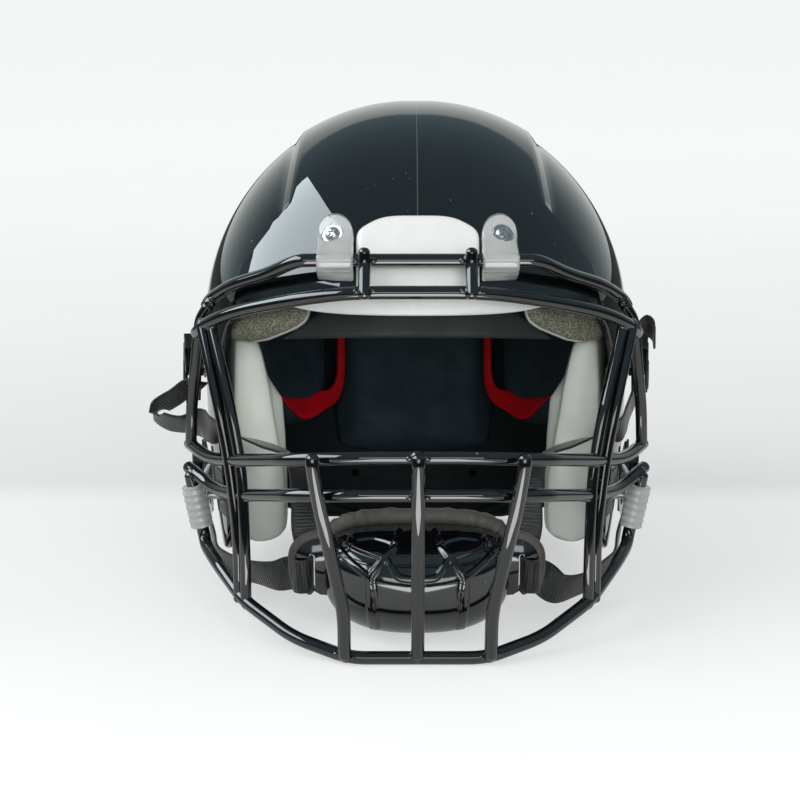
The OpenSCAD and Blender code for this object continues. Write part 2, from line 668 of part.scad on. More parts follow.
// Straps: from the buckle over the jaw flap's edge to a wing of the cup
function strap_spot(yz, pull, x) = stud_at(yz) + along(yz, pull) * x + out_dir(stud_at(yz)) * strap_z;
wing_y = cup_edge_y + 1.2;
upper_route = [[106, -70.5, 100], [94, -73, 98], [78, -77, 92], [67, -82, 80], [wing_x - 7, wing_y + 3, 62],
    [wing_x - 9, wing_y, 52], [wing_x - 11, wing_y, 43]];
upper_wide = [[0, -0.2, 1], [0, -0.2, 1], [0.2, -0.3, 1], [0.5, -0.5, 0.8], [1, -0.3, 0.3], [1, 0, 0.1],
    [1, 0, 0]];
lower_route = [[side_x(-38, 27, 4.5), -38, 27], [107, -55, 23.5], [100, -70, 24], [84, -84, 25],
    [wing_x - 3, wing_y + 0.5, 28], [wing_x - 11, wing_y, 29]];
lower_wide = [[0, -0.4, 1], [0, -0.1, 1], [0, 0, 1], [0, 0, 1], [0, 0, 1], [0.1, 0, 1]];
slack_route = [[122, -45, 105], [126, -43, 100], [125.5, -39, 95], [120, -40, 95], [114.2, -49, 97.5],
    [110.8, -59, 100.5]];
slack_wide = [[0.7, 0.3, -0.4], [1, 0, 0.1], [1, 0, 0], [0.7, 0.5, -0.5], [0.1, 0.4, -1], [0, 0.2, -1]];

module upper_strap(side, slack, slack_wides, tail) {
    yz = upper_stud_yz;
    dir = across(yz, upper_pull);
    stops = [-buckle_len / 2 - 2, -4, 6, buckle_len / 2 + 1, buckle_len / 2 + 4];
    start = [for (x = stops) strap_spot(yz, upper_pull, x)];
    path = concat(tail, start, slack, upper_route);
    wides = concat([for (p = concat(tail, start)) dir], slack_wides, upper_wide);
    mirror([side < 0 ? 1 : 0, 0, 0]) webbing(path, [for (w = wides) w * sign(w * dir + tiny)]);
}
loop_tail = let (p = stud_at(upper_stud_yz), dir = along(upper_stud_yz, upper_pull))
    [for (q = [[-19, 15], [-25, 14], [-28, 10.5], [-24, 7], [-20, 6]]) p + dir * q[0] + out_dir(p) * q[1]];
module upper_strap_left() {
    color(web_black) upper_strap(-1, slack_route, slack_wide, []);
}
module upper_strap_right() {
    color(web_black)
        upper_strap(1, [[114, -48, 106], [110.5, -60, 102]], [[0, 0.5, -1], [0, 0.3, -1]], loop_tail);
}
module lower_strap(side) {
    yz = lower_stud_yz;
    dir = across(yz, lower_pull);
    stops = [-buckle_len / 2 - 4, -4, 6, buckle_len / 2 + 3];
    path = concat([for (x = stops) strap_spot(yz, lower_pull, x)], lower_route);
    wides = concat([for (k = [0 : 3]) dir], lower_wide);
    color(web_black) mirror([side < 0 ? 1 : 0, 0, 0])
        webbing(path, [for (w = wides) w * sign(w * dir + tiny)]);
}
module lower_strap_left() { lower_strap(-1); }
module lower_strap_right() { lower_strap(1); }

// Face guard wires
guard_black = [0.045, 0.045, 0.05];
lower_brow_y = -brow_y - 11;
lower_brow_z = brow_z - brow_drop;
nose_y = -nose_reach;
loop_top = [guard_half_w, -loop_reach, side_high_z];
loop_foot = [guard_half_w - 6.5, -loop_reach, 38];

module brow_wire_upper() {
    arm = rounded([[brow_straight - 5, -brow_y, brow_z], [brow_straight + 4, -brow_y, brow_z],
        [74, 14.5 - brow_y, brow_z - 9], [94, 33.5 - brow_y, brow_z - 18],
        [guard_half_w - 14, -loop_reach - 5, 168], [guard_half_w - 11, -loop_reach, 163]], 9, 3);
    color(guard_black) union() {
        translate([0, -brow_y, brow_z]) rotate([0, 90, 0])
            cylinder(r = wire_r, h = 2 * brow_straight, center = true, $fn = 48);
        wire(arm, wire_r - 0.15);
        wire([for (p = arm) mirrored(p)], wire_r - 0.15);
    }
}
module brow_wire_lower() {
    half = [[32, lower_brow_y, lower_brow_z - 0.5], [62, lower_brow_y + 10, lower_brow_z - 6],
        [92, lower_brow_y + 31, lower_brow_z - 15.5], [guard_half_w - 11, -loop_reach - 18, 156.5],
        [guard_half_w - 6, -loop_reach - 6, 150]];
    color(guard_black) wire(rounded(both_sides(half), 14, 3), wire_r);
}
module brow_posts() {
    color(guard_black) for (side = [-1, 1])
        wire([[side * post_x, -brow_y - wire_d + 0.3, brow_z + 5],
            [side * post_x, -brow_y - wire_d - 0.6, brow_z - 2],
            [side * post_x, lower_brow_y - 3, lower_brow_z - 1]], wire_r - 0.35, [1, 0, 0]);
}
module nose_wire_upper() {
    half = [[30, nose_y, nose_z], [60, nose_y + 10, nose_z - 3.5], [88, nose_y + 54, nose_z - 16],
        [guard_half_w - 12, nose_y + 87, 84.5], [guard_half_w + 1, 10 - loop_reach, 86]];
    color(guard_black) wire(rounded(both_sides(half), 16, 3), wire_r);
}
module nose_wire_lower() {
    low = nose_z - nose_drop;
    half = [[30, nose_y, low], [60, nose_y + 10, low - 3], [90, nose_y + 61, 72.5],
        [guard_half_w - 14, nose_y + 88, 68], [guard_half_w + 1.5, 6 - loop_reach, 74]];
    color(guard_black) wire(rounded(both_sides(half), 12, 2), wire_r);
}
module chin_wire() {
    half = [[upright_foot_x - 2, nose_y + 13, wire_r], [62, nose_y + 24, 10], [88, nose_y + 48, 20.5],
        [guard_half_w - 14.5, -loop_reach - 22, 30.5], [guard_half_w - 8, -loop_reach - 6, 34], loop_foot, loop_top];
    color(guard_black) wire(rounded(both_sides(half), 9, 2), wire_r);
}
module outer_upright(side) {
    path = rounded([[guard_half_w - 12, -loop_reach - 8, 163.5], [guard_half_w - 7.5, -loop_reach - 6, 156],
        [guard_half_w - 4.5, -loop_reach - 1, 132], [guard_half_w - 1, 5 - loop_reach, 108],
        [guard_half_w, 6 - loop_reach, 88]], 8, 3);
    color(guard_black) wire([for (p = path) [side * p.x, p.y, p.z]], wire_r - 0.3, [1, 0, 0]);
}
module outer_upright_left() { outer_upright(-1); }
module outer_upright_right() { outer_upright(1); }
module inner_uprights(side) {
    for (twin = [0, 1]) {
        path = rounded([[guard_half_w - 9.5 - 5.6 * twin, -loop_reach - 16 - 4.2 * twin, 156],
            [guard_half_w - 18.5 - 6.5 * twin, -loop_reach - 33 - 5 * twin, 120],
            [guard_half_w - 24.5 - 6.5 * twin, -loop_reach - 39 - 6 * twin, 88],
            [guard_half_w - 28.5 - 4 * twin, -loop_reach - 46 - 5 * twin, 55],
            [guard_half_w - 29 - 4 * twin, -loop_reach - 50.5 - 5 * twin, 20]], 14, 3);
        color(guard_black) wire([for (p = path) [side * p.x, p.y, p.z]], wire_r - 0.5, [1, 0, 0]);
    }
}
module inner_uprights_left() { inner_uprights(-1); }
module inner_uprights_right() { inner_uprights(1); }
module front_upright(top_x, foot_x, side) {
    path = rounded([[top_x, nose_y - 3.5, nose_z + 5], [top_x, nose_y - 5, nose_z - 4],
        [top_x * 0.8 + foot_x * 0.2, nose_y - 4, nose_z - nose_drop - 4],
        [foot_x, nose_y + 5, 30], [foot_x, nose_y + 11, 5.6]], 10, 3);
    color(guard_black) wire([for (p = path) [side * p.x, p.y, p.z]], wire_r - 0.05, [1, 0, 0]);
}
module front_upright_centre() { front_upright(0, 0, 1); }
module front_upright_left() { front_upright(upright_top_x, upright_foot_x, -1); }
module front_upright_right() { front_upright(upright_top_x, upright_foot_x, 1); }

// Side clip: a plate under the screw's head, slotted towards the rear, with a sleeve round the side loop
module side_clip(side) {
    loop_dir = unit(loop_top - loop_foot);
    loop_mid = (loop_top + loop_foot) / 2;
    slot_dir = unit([0, brow_z - side_screw.z, brow_y + side_screw.y]);
    slot_w = screw_d + hole_play;
    slot_rise = 1.2;
    plate_y = -loop_reach;
    tall = side_high_z - side_low_z;
    color(clear) mirror([side < 0 ? 1 : 0, 0, 0]) difference() {
        union() {
            translate([side_plane, plate_y, side_low_z]) cube([side_plate, side_rear_y - plate_y, tall]);
            intersection() {
                aim(loop_mid, loop_dir) cylinder(r = bore_r + clip_wall, h = 60, center = true, $fn = 48);
                translate([80, -100, side_low_z]) cube([80, 80, tall - 5]);
            }
        }
        aim(loop_mid, loop_dir) cylinder(r = bore_r, h = 80, center = true, $fn = 48);
        translate([0, side_screw.y, side_screw.z]) rotate([0, 90, 0]) cylinder(d = slot_w, h = 200, $fn = 32);
        translate([100, side_screw.y, side_screw.z]) rotate([atan2(slot_dir.z, slot_dir.y), 0, 0])
            translate([0, 0, -slot_w / 2]) cube([60, 40, slot_w + slot_rise]);
    }
}
module side_clip_left() { side_clip(-1); }
module side_clip_right() { side_clip(1); }

translate([0, centre_y, 0]) {
    shell();
    front_bumper();
    rear_bumper();
    rear_bumper_screws();
    top_clip_left();
    top_clip_right();
    top_clip_screws();
    top_clip_nuts();
    side_clip_screws();
    side_clip_nuts();
    front_pad();
    temple_pad_left();
    temple_pad_right();
    crown_liner();
    rear_liner();
    side_liner_left();
    side_liner_right();
    red_trim_left();
    red_trim_right();
    jaw_pad_left();
    jaw_pad_right();
    jaw_pad_snaps();
    air_valves();
    strap_studs();
    ear_trim();
    chin_cup();
    chin_cup_liner();
    upper_strap_left();
    upper_strap_right();
    lower_strap_left();
    lower_strap_right();
    upper_buckle_left();
    upper_buckle_right();
    lower_buckle_left();
    lower_buckle_right();
    upper_lever_left();
    upper_lever_right();
    lower_lever_left();
    lower_lever_right();
    brow_wire_upper();
    brow_wire_lower();
    brow_posts();
    nose_wire_upper();
    nose_wire_lower();
    chin_wire();
    outer_upright_left();
    outer_upright_right();
    inner_uprights_left();
    inner_uprights_right();
    front_upright_centre();
    front_upright_left();
    front_upright_right();
    side_clip_left();
    side_clip_right();
}
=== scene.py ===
import json
import logging
import math
from dataclasses import dataclass, field
from enum import Enum
from itertools import combinations, product
from typing import Callable, Sequence

import bmesh
import bpy
import numpy as np
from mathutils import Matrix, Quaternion, Vector

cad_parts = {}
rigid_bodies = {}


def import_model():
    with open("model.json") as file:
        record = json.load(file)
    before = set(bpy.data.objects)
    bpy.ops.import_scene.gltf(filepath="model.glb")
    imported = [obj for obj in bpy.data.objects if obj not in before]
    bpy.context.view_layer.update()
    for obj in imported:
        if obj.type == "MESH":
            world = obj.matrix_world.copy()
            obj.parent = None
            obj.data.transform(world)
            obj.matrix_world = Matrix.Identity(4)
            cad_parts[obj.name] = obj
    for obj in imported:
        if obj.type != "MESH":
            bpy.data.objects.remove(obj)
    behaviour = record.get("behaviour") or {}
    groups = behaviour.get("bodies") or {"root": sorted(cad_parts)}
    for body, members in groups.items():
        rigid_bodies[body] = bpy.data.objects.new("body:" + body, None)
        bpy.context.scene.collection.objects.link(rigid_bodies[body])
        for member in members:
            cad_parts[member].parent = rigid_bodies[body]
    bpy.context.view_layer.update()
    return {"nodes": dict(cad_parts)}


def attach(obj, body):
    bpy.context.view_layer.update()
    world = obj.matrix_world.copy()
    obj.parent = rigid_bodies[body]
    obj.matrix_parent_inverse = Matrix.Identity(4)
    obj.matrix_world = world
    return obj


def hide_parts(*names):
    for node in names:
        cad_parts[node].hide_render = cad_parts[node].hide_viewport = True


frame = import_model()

Array = np.ndarray
Place = Callable[[Array, Array, Array], Array]
Piece = bpy.types.Object
Node = bpy.types.Node
Socket = bpy.types.NodeSocket
Tree = bpy.types.NodeTree
Shade = tuple[float, float, float]
Weld = tuple[Array, Array, Array]
LOG = logging.getLogger("helmet")
MM = 0.001


class Side(Enum):
    """Side of the helmet, as someone who looks at the face guard sees it."""

    LEFT = -1
    RIGHT = 1

    @property
    def word(self) -> str:
        """Lower-case name that ends the names of pieces."""
        return self.name.lower()

    @property
    def flip(self) -> Array:
        """Factors that carry a point of the right side to this side."""
        return np.array([self.value, 1, 1])


class Body(Enum):
    """Rigid bodies that the pieces ride on."""

    HELMET = "helmet"
    GUARD = "face_guard"


# ---- shape helpers ----


def unit(v: Array) -> Array:
    """Vectors of length one along the last axis."""
    v = np.asarray(v, float)
    return v / np.maximum(np.linalg.norm(v, axis=-1, keepdims=True), 1e-12)


def spow(v: Array, p: float) -> Array:
    """Power that keeps the sign."""
    return np.sign(v) * np.abs(v) ** p


def smooth(low: float, high: float, v: Array) -> Array:
    """Smooth step from 0 at low to 1 at high."""
    t = np.clip((np.asarray(v, float) - low) / (high - low), 0, 1)
    return t * t * (3 - 2 * t)


@dataclass(frozen=True)
class Dome:
    """Rounded dome that the shell, the pads and the clips follow, in millimetres."""

    width: float = 233.0
    length: float = 264.0
    crown: float = 122.0
    flank: float = 300.0
    fullness: float = 2.3
    lean: float = math.radians(14.0)
    ring_y: float = -20.0
    ring_z: float = 137.0

    def stand(self, p: Array) -> Array:
        """Points of the leaning frame in the standing frame."""
        c, s = math.cos(self.lean), math.sin(self.lean)
        x, y, z = np.moveaxis(np.asarray(p, float), -1, 0)
        return np.stack([x, y * c + z * s, z * c - y * s], -1)

    def unstand(self, p: Array) -> Array:
        """Points of the standing frame in the leaning frame."""
        c, s = math.cos(self.lean), math.sin(self.lean)
        x, y, z = np.moveaxis(np.asarray(p, float), -1, 0)
        return np.stack([x, y * c - z * s, y * s + z * c], -1)

    def level(self, up: Array, off: Array) -> Array:
        """Share of the ring's size that is left at a height above or below it."""
        tall = np.where(up > 0, self.crown + off, self.flank + off)
        return np.sqrt(np.clip(1 - (up / tall) ** 2, 0, 1))

    def at(self, az: Array, e: Array, off: Array) -> Array:
        """Point at an azimuth from the face, and e degrees above the ring or millimetres below it."""
        az, e, off = np.broadcast_arrays(*(np.asarray(v, float) for v in (az, e, off)))
        a, h, p = np.radians(az), np.radians(np.maximum(e, 0)), 2 / self.fullness
        f = np.where(e > 0, np.cos(h), self.level(np.minimum(e, 0), off))
        up = np.where(e > 0, (self.crown + off) * np.sin(h), e)
        return self.stand(np.stack([(self.width / 2 + off) * f * spow(np.sin(a), p),
                                    self.ring_y - (self.length / 2 + off) * f * spow(np.cos(a), p),
                                    self.ring_z + up], -1))

    def room(self, p: Array, off: Array) -> Array:
        """Positive inside the dome grown by off, negative outside it."""
        w, k = self.unstand(p), self.fullness
        f = self.level(w[..., 2] - self.ring_z, off)
        return f ** k - np.abs(w[..., 0] / (self.width / 2 + off)) ** k - \
            np.abs((w[..., 1] - self.ring_y) / (self.length / 2 + off)) ** k

    def side_x(self, y: Array, z: Array, off: Array) -> Array:
        """Half width of the dome at a standing y and z."""
        y, z, off = np.broadcast_arrays(*(np.asarray(v, float) for v in (y, z, off)))
        left = np.maximum(self.room(np.stack([0 * y, y, z], -1), off), 0)
        return (self.width / 2 + off) * left ** (1 / self.fullness)

    def reach(self, start: Array, way: Array, off: Array, far: float = 320.0) -> Array:
        """Distance from start along way to the dome's surface, by halving."""
        near, end = np.zeros(start.shape[:-1]), np.full(start.shape[:-1], far)
        for _ in range(34):
            mid = (near + end) / 2
            inside = self.room(start + way * mid[..., None], off) > 0
            near, end = np.where(inside, mid, near), np.where(inside, end, mid)
        return near

    def front(self, x: Array, z: Array, off: Array, way: int = -1) -> Array:
        """Point of the dome's front, or of its rear with way = 1, at a standing x and z."""
        x, z, off = np.broadcast_arrays(*(np.asarray(v, float) for v in (x, z, off)))
        start = np.stack([x, 0 * x + 20, z], -1)
        go = np.zeros_like(start)
        go[..., 1] = way
        return start + go * self.reach(start, go, off)[..., None]

    def normal(self, p: Array) -> Array:
        """Direction that points out of the dome."""
        p = np.asarray(p, float)
        step = 0.05 * np.eye(3)
        return unit(np.stack([self.room(p - s, 0.0) - self.room(p + s, 0.0) for s in step], -1))


DOME = Dome()
NOSE_REACH, WIRE_R = 163.0, 3.35
BROW_Y, BROW_Z = -114.5, 195.5
LOOP_TOP, LOOP_FOOT = np.array([120.0, -60, 71]), np.array([113.5, -60, 38])
PANEL_RISE = 2.5
CENTRE_Y = (NOSE_REACH + 3 * WIRE_R - float(DOME.at(180.0, np.arange(0, 61, 5.0), PANEL_RISE)[..., 1].max())) / 2


def packed(p: Array) -> Array:
    """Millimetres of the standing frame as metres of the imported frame."""
    return (np.asarray(p, float) + [0, CENTRE_Y, 0]) * MM


def headings(path: Array) -> Array:
    """Direction of a path at each of its points."""
    ahead = np.vstack([path[1:], path[-1:]])
    back = np.vstack([path[:1], path[:-1]])
    return unit(ahead - back)


def run_of(path: Array) -> Array:
    """Distance along a path, or along each column of a grid, at each of its points."""
    steps = np.linalg.norm(np.diff(path, axis=0), axis=-1)
    return np.concatenate([0 * steps[:1], np.cumsum(steps, axis=0)])


def roundness(S: Array, T: Array, edge: tuple[float, float]) -> Array:
    """Share of a plate's thickness over its grid, falling to 0 along its quarter-round border."""
    away = [1 - np.clip((1 - np.abs(v)) / e, 0, 1) for v, e in zip((S, T), edge)]
    return np.sqrt(1 - away[0] ** 2) * np.sqrt(1 - away[1] ** 2)


def circle(count: int) -> Array:
    """Cosines and sines of evenly spaced directions round a circle."""
    a = np.linspace(0, 2 * math.pi, count, endpoint=False)
    return np.stack([np.cos(a), np.sin(a)], -1)


def carried(dirs: Array, side: Array) -> Array:
    """One side direction carried along a path without twist."""
    out, s = [], np.asarray(side, float)
    for d in dirs:
        s = unit(s - np.dot(s, d) * d)
        out.append(s)
    return np.array(out)


def rounded(route: Sequence[Sequence[float]], cut: float, steps: int = 10) -> Array:
    """Route whose corners are rounded over a given length."""
    pts = [np.asarray(p, float) for p in route]
    out = [pts[0]]
    for before, p, after in zip(pts, pts[1:], pts[2:]):
        b, a = before - p, after - p
        s = p + b * min(0.46, cut / np.linalg.norm(b))
        e = p + a * min(0.46, cut / np.linalg.norm(a))
        out += [s * (1 - t) ** 2 + p * 2 * t * (1 - t) + e * t * t for t in np.linspace(0, 1, steps + 1)]
    return np.array(out + [pts[-1]])


def both_sides(half: Sequence[Sequence[float]]) -> Array:
    """Half a route with its mirror image in front of it."""
    h = np.asarray(half, float)
    return np.vstack([(h * [-1, 1, 1])[::-1], h])


def spline(points: Array, step: float) -> Array:
    """Smooth curve through points of any width, sampled about every step."""
    p = np.asarray(points, float)
    ext = np.vstack([2 * p[0] - p[1], p, 2 * p[-1] - p[-2]])
    out = []
    for i in range(1, len(ext) - 2):
        a, b, c, d = ext[i - 1:i + 3]
        n = max(2, int(np.linalg.norm(c[:3] - b[:3]) / step))
        t = np.linspace(0, 1, n, endpoint=False)[:, None]
        out.append(b + 0.5 * t * (c - a + t * (2 * a - 5 * b + 4 * c - d + t * (3 * (b - c) + d - a))))
    return np.vstack(out + [p[-1:]])


def edge_lines(count: int, edge: float, steps: int = 4) -> Array:
    """Grid lines from -1 to 1 that crowd over a rounded edge."""
    turn = np.radians(np.linspace(0, 90, steps + 1))
    rim = 1 - edge * (1 - np.cos(turn))
    inner = np.linspace(-(1 - edge), 1 - edge, count)[1:-1]
    return np.concatenate([-rim, inner, rim[::-1]])


@dataclass
class Form:
    """Points in millimetres and faces of one piece, before it becomes an object."""

    points: list[Array] = field(default_factory=list)
    uvs: list[Array] = field(default_factory=list)
    faces: list[tuple[int, ...]] = field(default_factory=list)
    count: int = 0

    def add(self, pts: Array, uv: Array | None = None) -> Array:
        """Adds points and gives their indices in the same layout.

        Args:
            pts: Points, with x, y and z on the last axis.
            uv: Surface coordinates in millimetres, in the same layout.

        Returns:
            Indices of the points.
        """
        flat = np.asarray(pts, float).reshape(-1, 3)
        ids = np.arange(self.count, self.count + len(flat)).reshape(np.shape(pts)[:-1])
        self.points.append(flat)
        self.uvs.append(np.zeros((len(flat), 2)) if uv is None else np.asarray(uv, float).reshape(-1, 2))
        self.count += len(flat)
        return ids

    def quads(self, ids: Array, wrap: bool = False, flip: bool = False) -> None:
        """Joins a grid of indices with quads, closing its columns into a ring if asked."""
        if wrap:
            ids = np.concatenate([ids, ids[:, :1]], 1)
        a, b, c, d = ids[:-1, :-1], ids[:-1, 1:], ids[1:, 1:], ids[1:, :-1]
        order = (a, d, c, b) if flip else (a, b, c, d)
        self.faces += [tuple(f) for f in np.stack([o.ravel() for o in order], 1).tolist()]

    def cap(self, ring: Sequence[int], flip: bool = False) -> None:
        """Closes a ring of indices with one face."""
        self.faces.append(tuple(int(i) for i in (ring[::-1] if flip else ring)))

    def skin(self, rings: Array, uv: Array | None = None) -> None:
        """Adds closed rings, joined by quads and capped at both ends."""
        ids = self.add(rings, uv)
        self.quads(ids, wrap=True)
        self.cap(ids[0])
        self.cap(ids[-1], flip=True)

    def build(self, name: str, weld: float = 0.004, sharp: float = 40.0) -> Piece:
        """Makes the object.

        Args:
            name: Name of the piece.
            weld: Distance in millimetres under which points are joined.
            sharp: Angle in degrees over which an edge stays sharp.

        Returns:
            The new object, with its origin at the world's.
        """
        mesh = bpy.data.meshes.new(name)
        mesh.from_pydata(packed(np.vstack(self.points)).tolist(), [], self.faces)
        uv = np.vstack(self.uvs) * MM
        if np.any(uv):
            layer = mesh.uv_layers.new(name="run")
            where = np.zeros(len(mesh.loops), int)
            mesh.loops.foreach_get("vertex_index", where)
            layer.data.foreach_set("uv", uv[where].ravel())
        outward(mesh, weld)
        obj = placed(name, mesh)
        shade(obj, sharp)
        return obj


def outward(mesh: bpy.types.Mesh, weld: float = 0.0) -> None:
    """Turns a mesh's normals outward, after joining points that are closer than weld millimetres."""
    bm = bmesh.new()
    bm.from_mesh(mesh)
    if weld:
        bmesh.ops.remove_doubles(bm, verts=bm.verts, dist=weld * MM)
        bmesh.ops.dissolve_degenerate(bm, edges=bm.edges, dist=1e-7)
    bmesh.ops.recalc_face_normals(bm, faces=bm.faces)
    bm.to_mesh(mesh)
    bm.free()


def placed(name: str, data: bpy.types.ID) -> Piece:
    """New object of a mesh, a lamp or a camera."""
    obj = bpy.data.objects.new(name, data)
    bpy.context.scene.collection.objects.link(obj)
    return obj


def choose(obj: Piece) -> None:
    """Leaves obj as the only selected and active object."""
    for other in bpy.context.view_layer.objects:
        other.select_set(False)
    obj.select_set(True)
    bpy.context.view_layer.objects.active = obj


def shade(obj: Piece, sharp: float = 40.0) -> None:
    """Smooth shading with sharp edges over an angle in degrees."""
    choose(obj)
    bpy.ops.object.shade_smooth_by_angle(angle=math.radians(sharp))


def settle(obj: Piece) -> None:
    """Applies the object's modifiers and its transform."""
    choose(obj)
    for mod in list(obj.modifiers):
        bpy.ops.object.modifier_apply(modifier=mod.name)
    bpy.ops.object.transform_apply(location=True, rotation=True, scale=True)


def bevelled(obj: Piece, width: float, segments: int = 3, angle: float = 30.0) -> None:
    """Rounds an object's edges by a width in millimetres, and settles it."""
    mod = obj.modifiers.new("round", "BEVEL")
    mod.width, mod.segments, mod.limit_method = width * MM, segments, "ANGLE"
    mod.angle_limit, mod.harden_normals = math.radians(angle), False
    settle(obj)


def pointed(obj: Piece, way: Array, at: Array) -> None:
    """Turns an object's Z axis along a direction and moves it to a point in millimetres."""
    obj.rotation_euler = Vector(unit(way).tolist()).to_track_quat("Z", "Y").to_euler()
    obj.location = packed(at)
    settle(obj)


def box(size: Sequence[float], at: Sequence[float], turn: float = 0.0) -> Piece:
    """Settled box with its size in millimetres and its middle in metres."""
    bpy.ops.mesh.primitive_cube_add(size=1, location=at)
    obj = bpy.context.object
    obj.scale = [v * MM for v in size]
    obj.rotation_euler = (0, 0, turn)
    settle(obj)
    return obj


def peg(r: float, depth: float, sides: int, at: Array | None = None) -> Piece:
    """Cylinder with sizes in millimetres, upright at the origin or lying along X at a point."""
    place, turn = ((0, 0, 0), (0, 0, 0)) if at is None else (packed(at), (0, math.pi / 2, 0))
    bpy.ops.mesh.primitive_cylinder_add(vertices=sides, radius=r * MM, depth=depth * MM, location=place, rotation=turn)
    return bpy.context.object


def carved(obj: Piece, tool: Piece) -> None:
    """Cuts a tool object out of obj, and removes the tool."""
    mod = obj.modifiers.new("cut", "BOOLEAN")
    mod.operation, mod.solver, mod.object = "DIFFERENCE", "EXACT", tool
    settle(obj)
    bpy.data.objects.remove(tool, do_unlink=True)


def joined(name: str, parts: Sequence[Piece]) -> Piece:
    """One object of several, under a new name."""
    choose(parts[0])
    for p in parts:
        p.select_set(True)
    bpy.ops.object.join()
    obj = bpy.context.view_layer.objects.active
    obj.name = obj.data.name = name
    return obj


def sweep(form: Form, path: Array, sections: Array, ups: Array) -> None:
    """Runs cross sections along a path.

    Args:
        form: Form that takes the surface.
        path: Points of the path.
        sections: Section points for each path point, along the up and across directions.
        ups: Up direction for each path point.
    """
    dirs = headings(path)
    ups = unit(ups - (ups * dirs).sum(-1, keepdims=True) * dirs)
    across = np.cross(dirs, ups)
    pts = path[:, None] + sections[..., :1] * ups[:, None] + sections[..., 1:] * across[:, None]
    along = np.broadcast_to(run_of(path)[:, None], sections.shape[:2])
    form.skin(pts, np.stack([along, sections[..., 1]], -1))


def tube(form: Form, path: Array, radius: float, sides: int = 20, up: Sequence[float] = (0, 0, 1),
         domed: bool = True) -> None:
    """Round tube with domed ends along a path."""
    dirs = headings(path)
    ups = carried(dirs, np.asarray(up, float))
    radii = np.full(len(path), radius)
    if domed:
        turn = np.radians([12, 30, 52, 74])
        lead = path[0] - dirs[0] * radius * np.cos(turn)[:, None] * 0.8
        tail = path[-1] + dirs[-1] * radius * np.cos(turn)[::-1, None] * 0.8
        path = np.vstack([lead, path, tail])
        radii = np.concatenate([radius * np.sin(turn), radii, radius * np.sin(turn)[::-1]])
        dirs, ups = (np.pad(v, ((4, 4), (0, 0)), "edge") for v in (dirs, ups))
    across = np.stack([ups, np.cross(dirs, ups)], 1)
    form.skin(path[:, None] + radii[:, None, None] * (circle(sides) @ across))


def slab(form: Form, place: Place, size: tuple[int, int], low: float, high: float,
         edge: tuple[float, float]) -> None:
    """Plate on a surface with rounded edges.

    Args:
        form: Form that takes the plate.
        place: Gives points for s, t and a distance off the surface.
        size: Number of grid lines across and up.
        low: Distance of the under side.
        high: Distance of the upper side.
        edge: Share of the half width and half height that is rounded.
    """
    S, T = np.meshgrid(*(edge_lines(n, e) for n, e in zip(size, edge)))
    f = roundness(S, T, edge)
    mid, half = (low + high) / 2, (high - low) / 2
    for way, flip in ((1, False), (-1, True)):
        pts = place(S, T, mid + way * half * f)
        form.quads(form.add(pts), flip=flip)


def ball(form: Form, at: Array, axes: Sequence[Array], sides: int = 16, rows: int = 9) -> None:
    """Rounded bead with three half axes."""
    h = np.linspace(-math.pi / 2, math.pi / 2, rows)[:, None, None]
    x, y, z = (np.asarray(v, float) for v in axes)
    form.quads(form.add(at + np.cos(h) * (circle(sides) @ np.array([x, y])) + np.sin(h) * z), wrap=True)


# ---- materials ----


def linear(rgb: Sequence[float]) -> tuple[float, float, float, float]:
    """Linear colour of a display colour from 0 to 255."""
    v = [c / 255 for c in rgb]
    return (*(c / 12.92 if c <= 0.04045 else ((c + 0.055) / 1.055) ** 2.4 for c in v), 1.0)


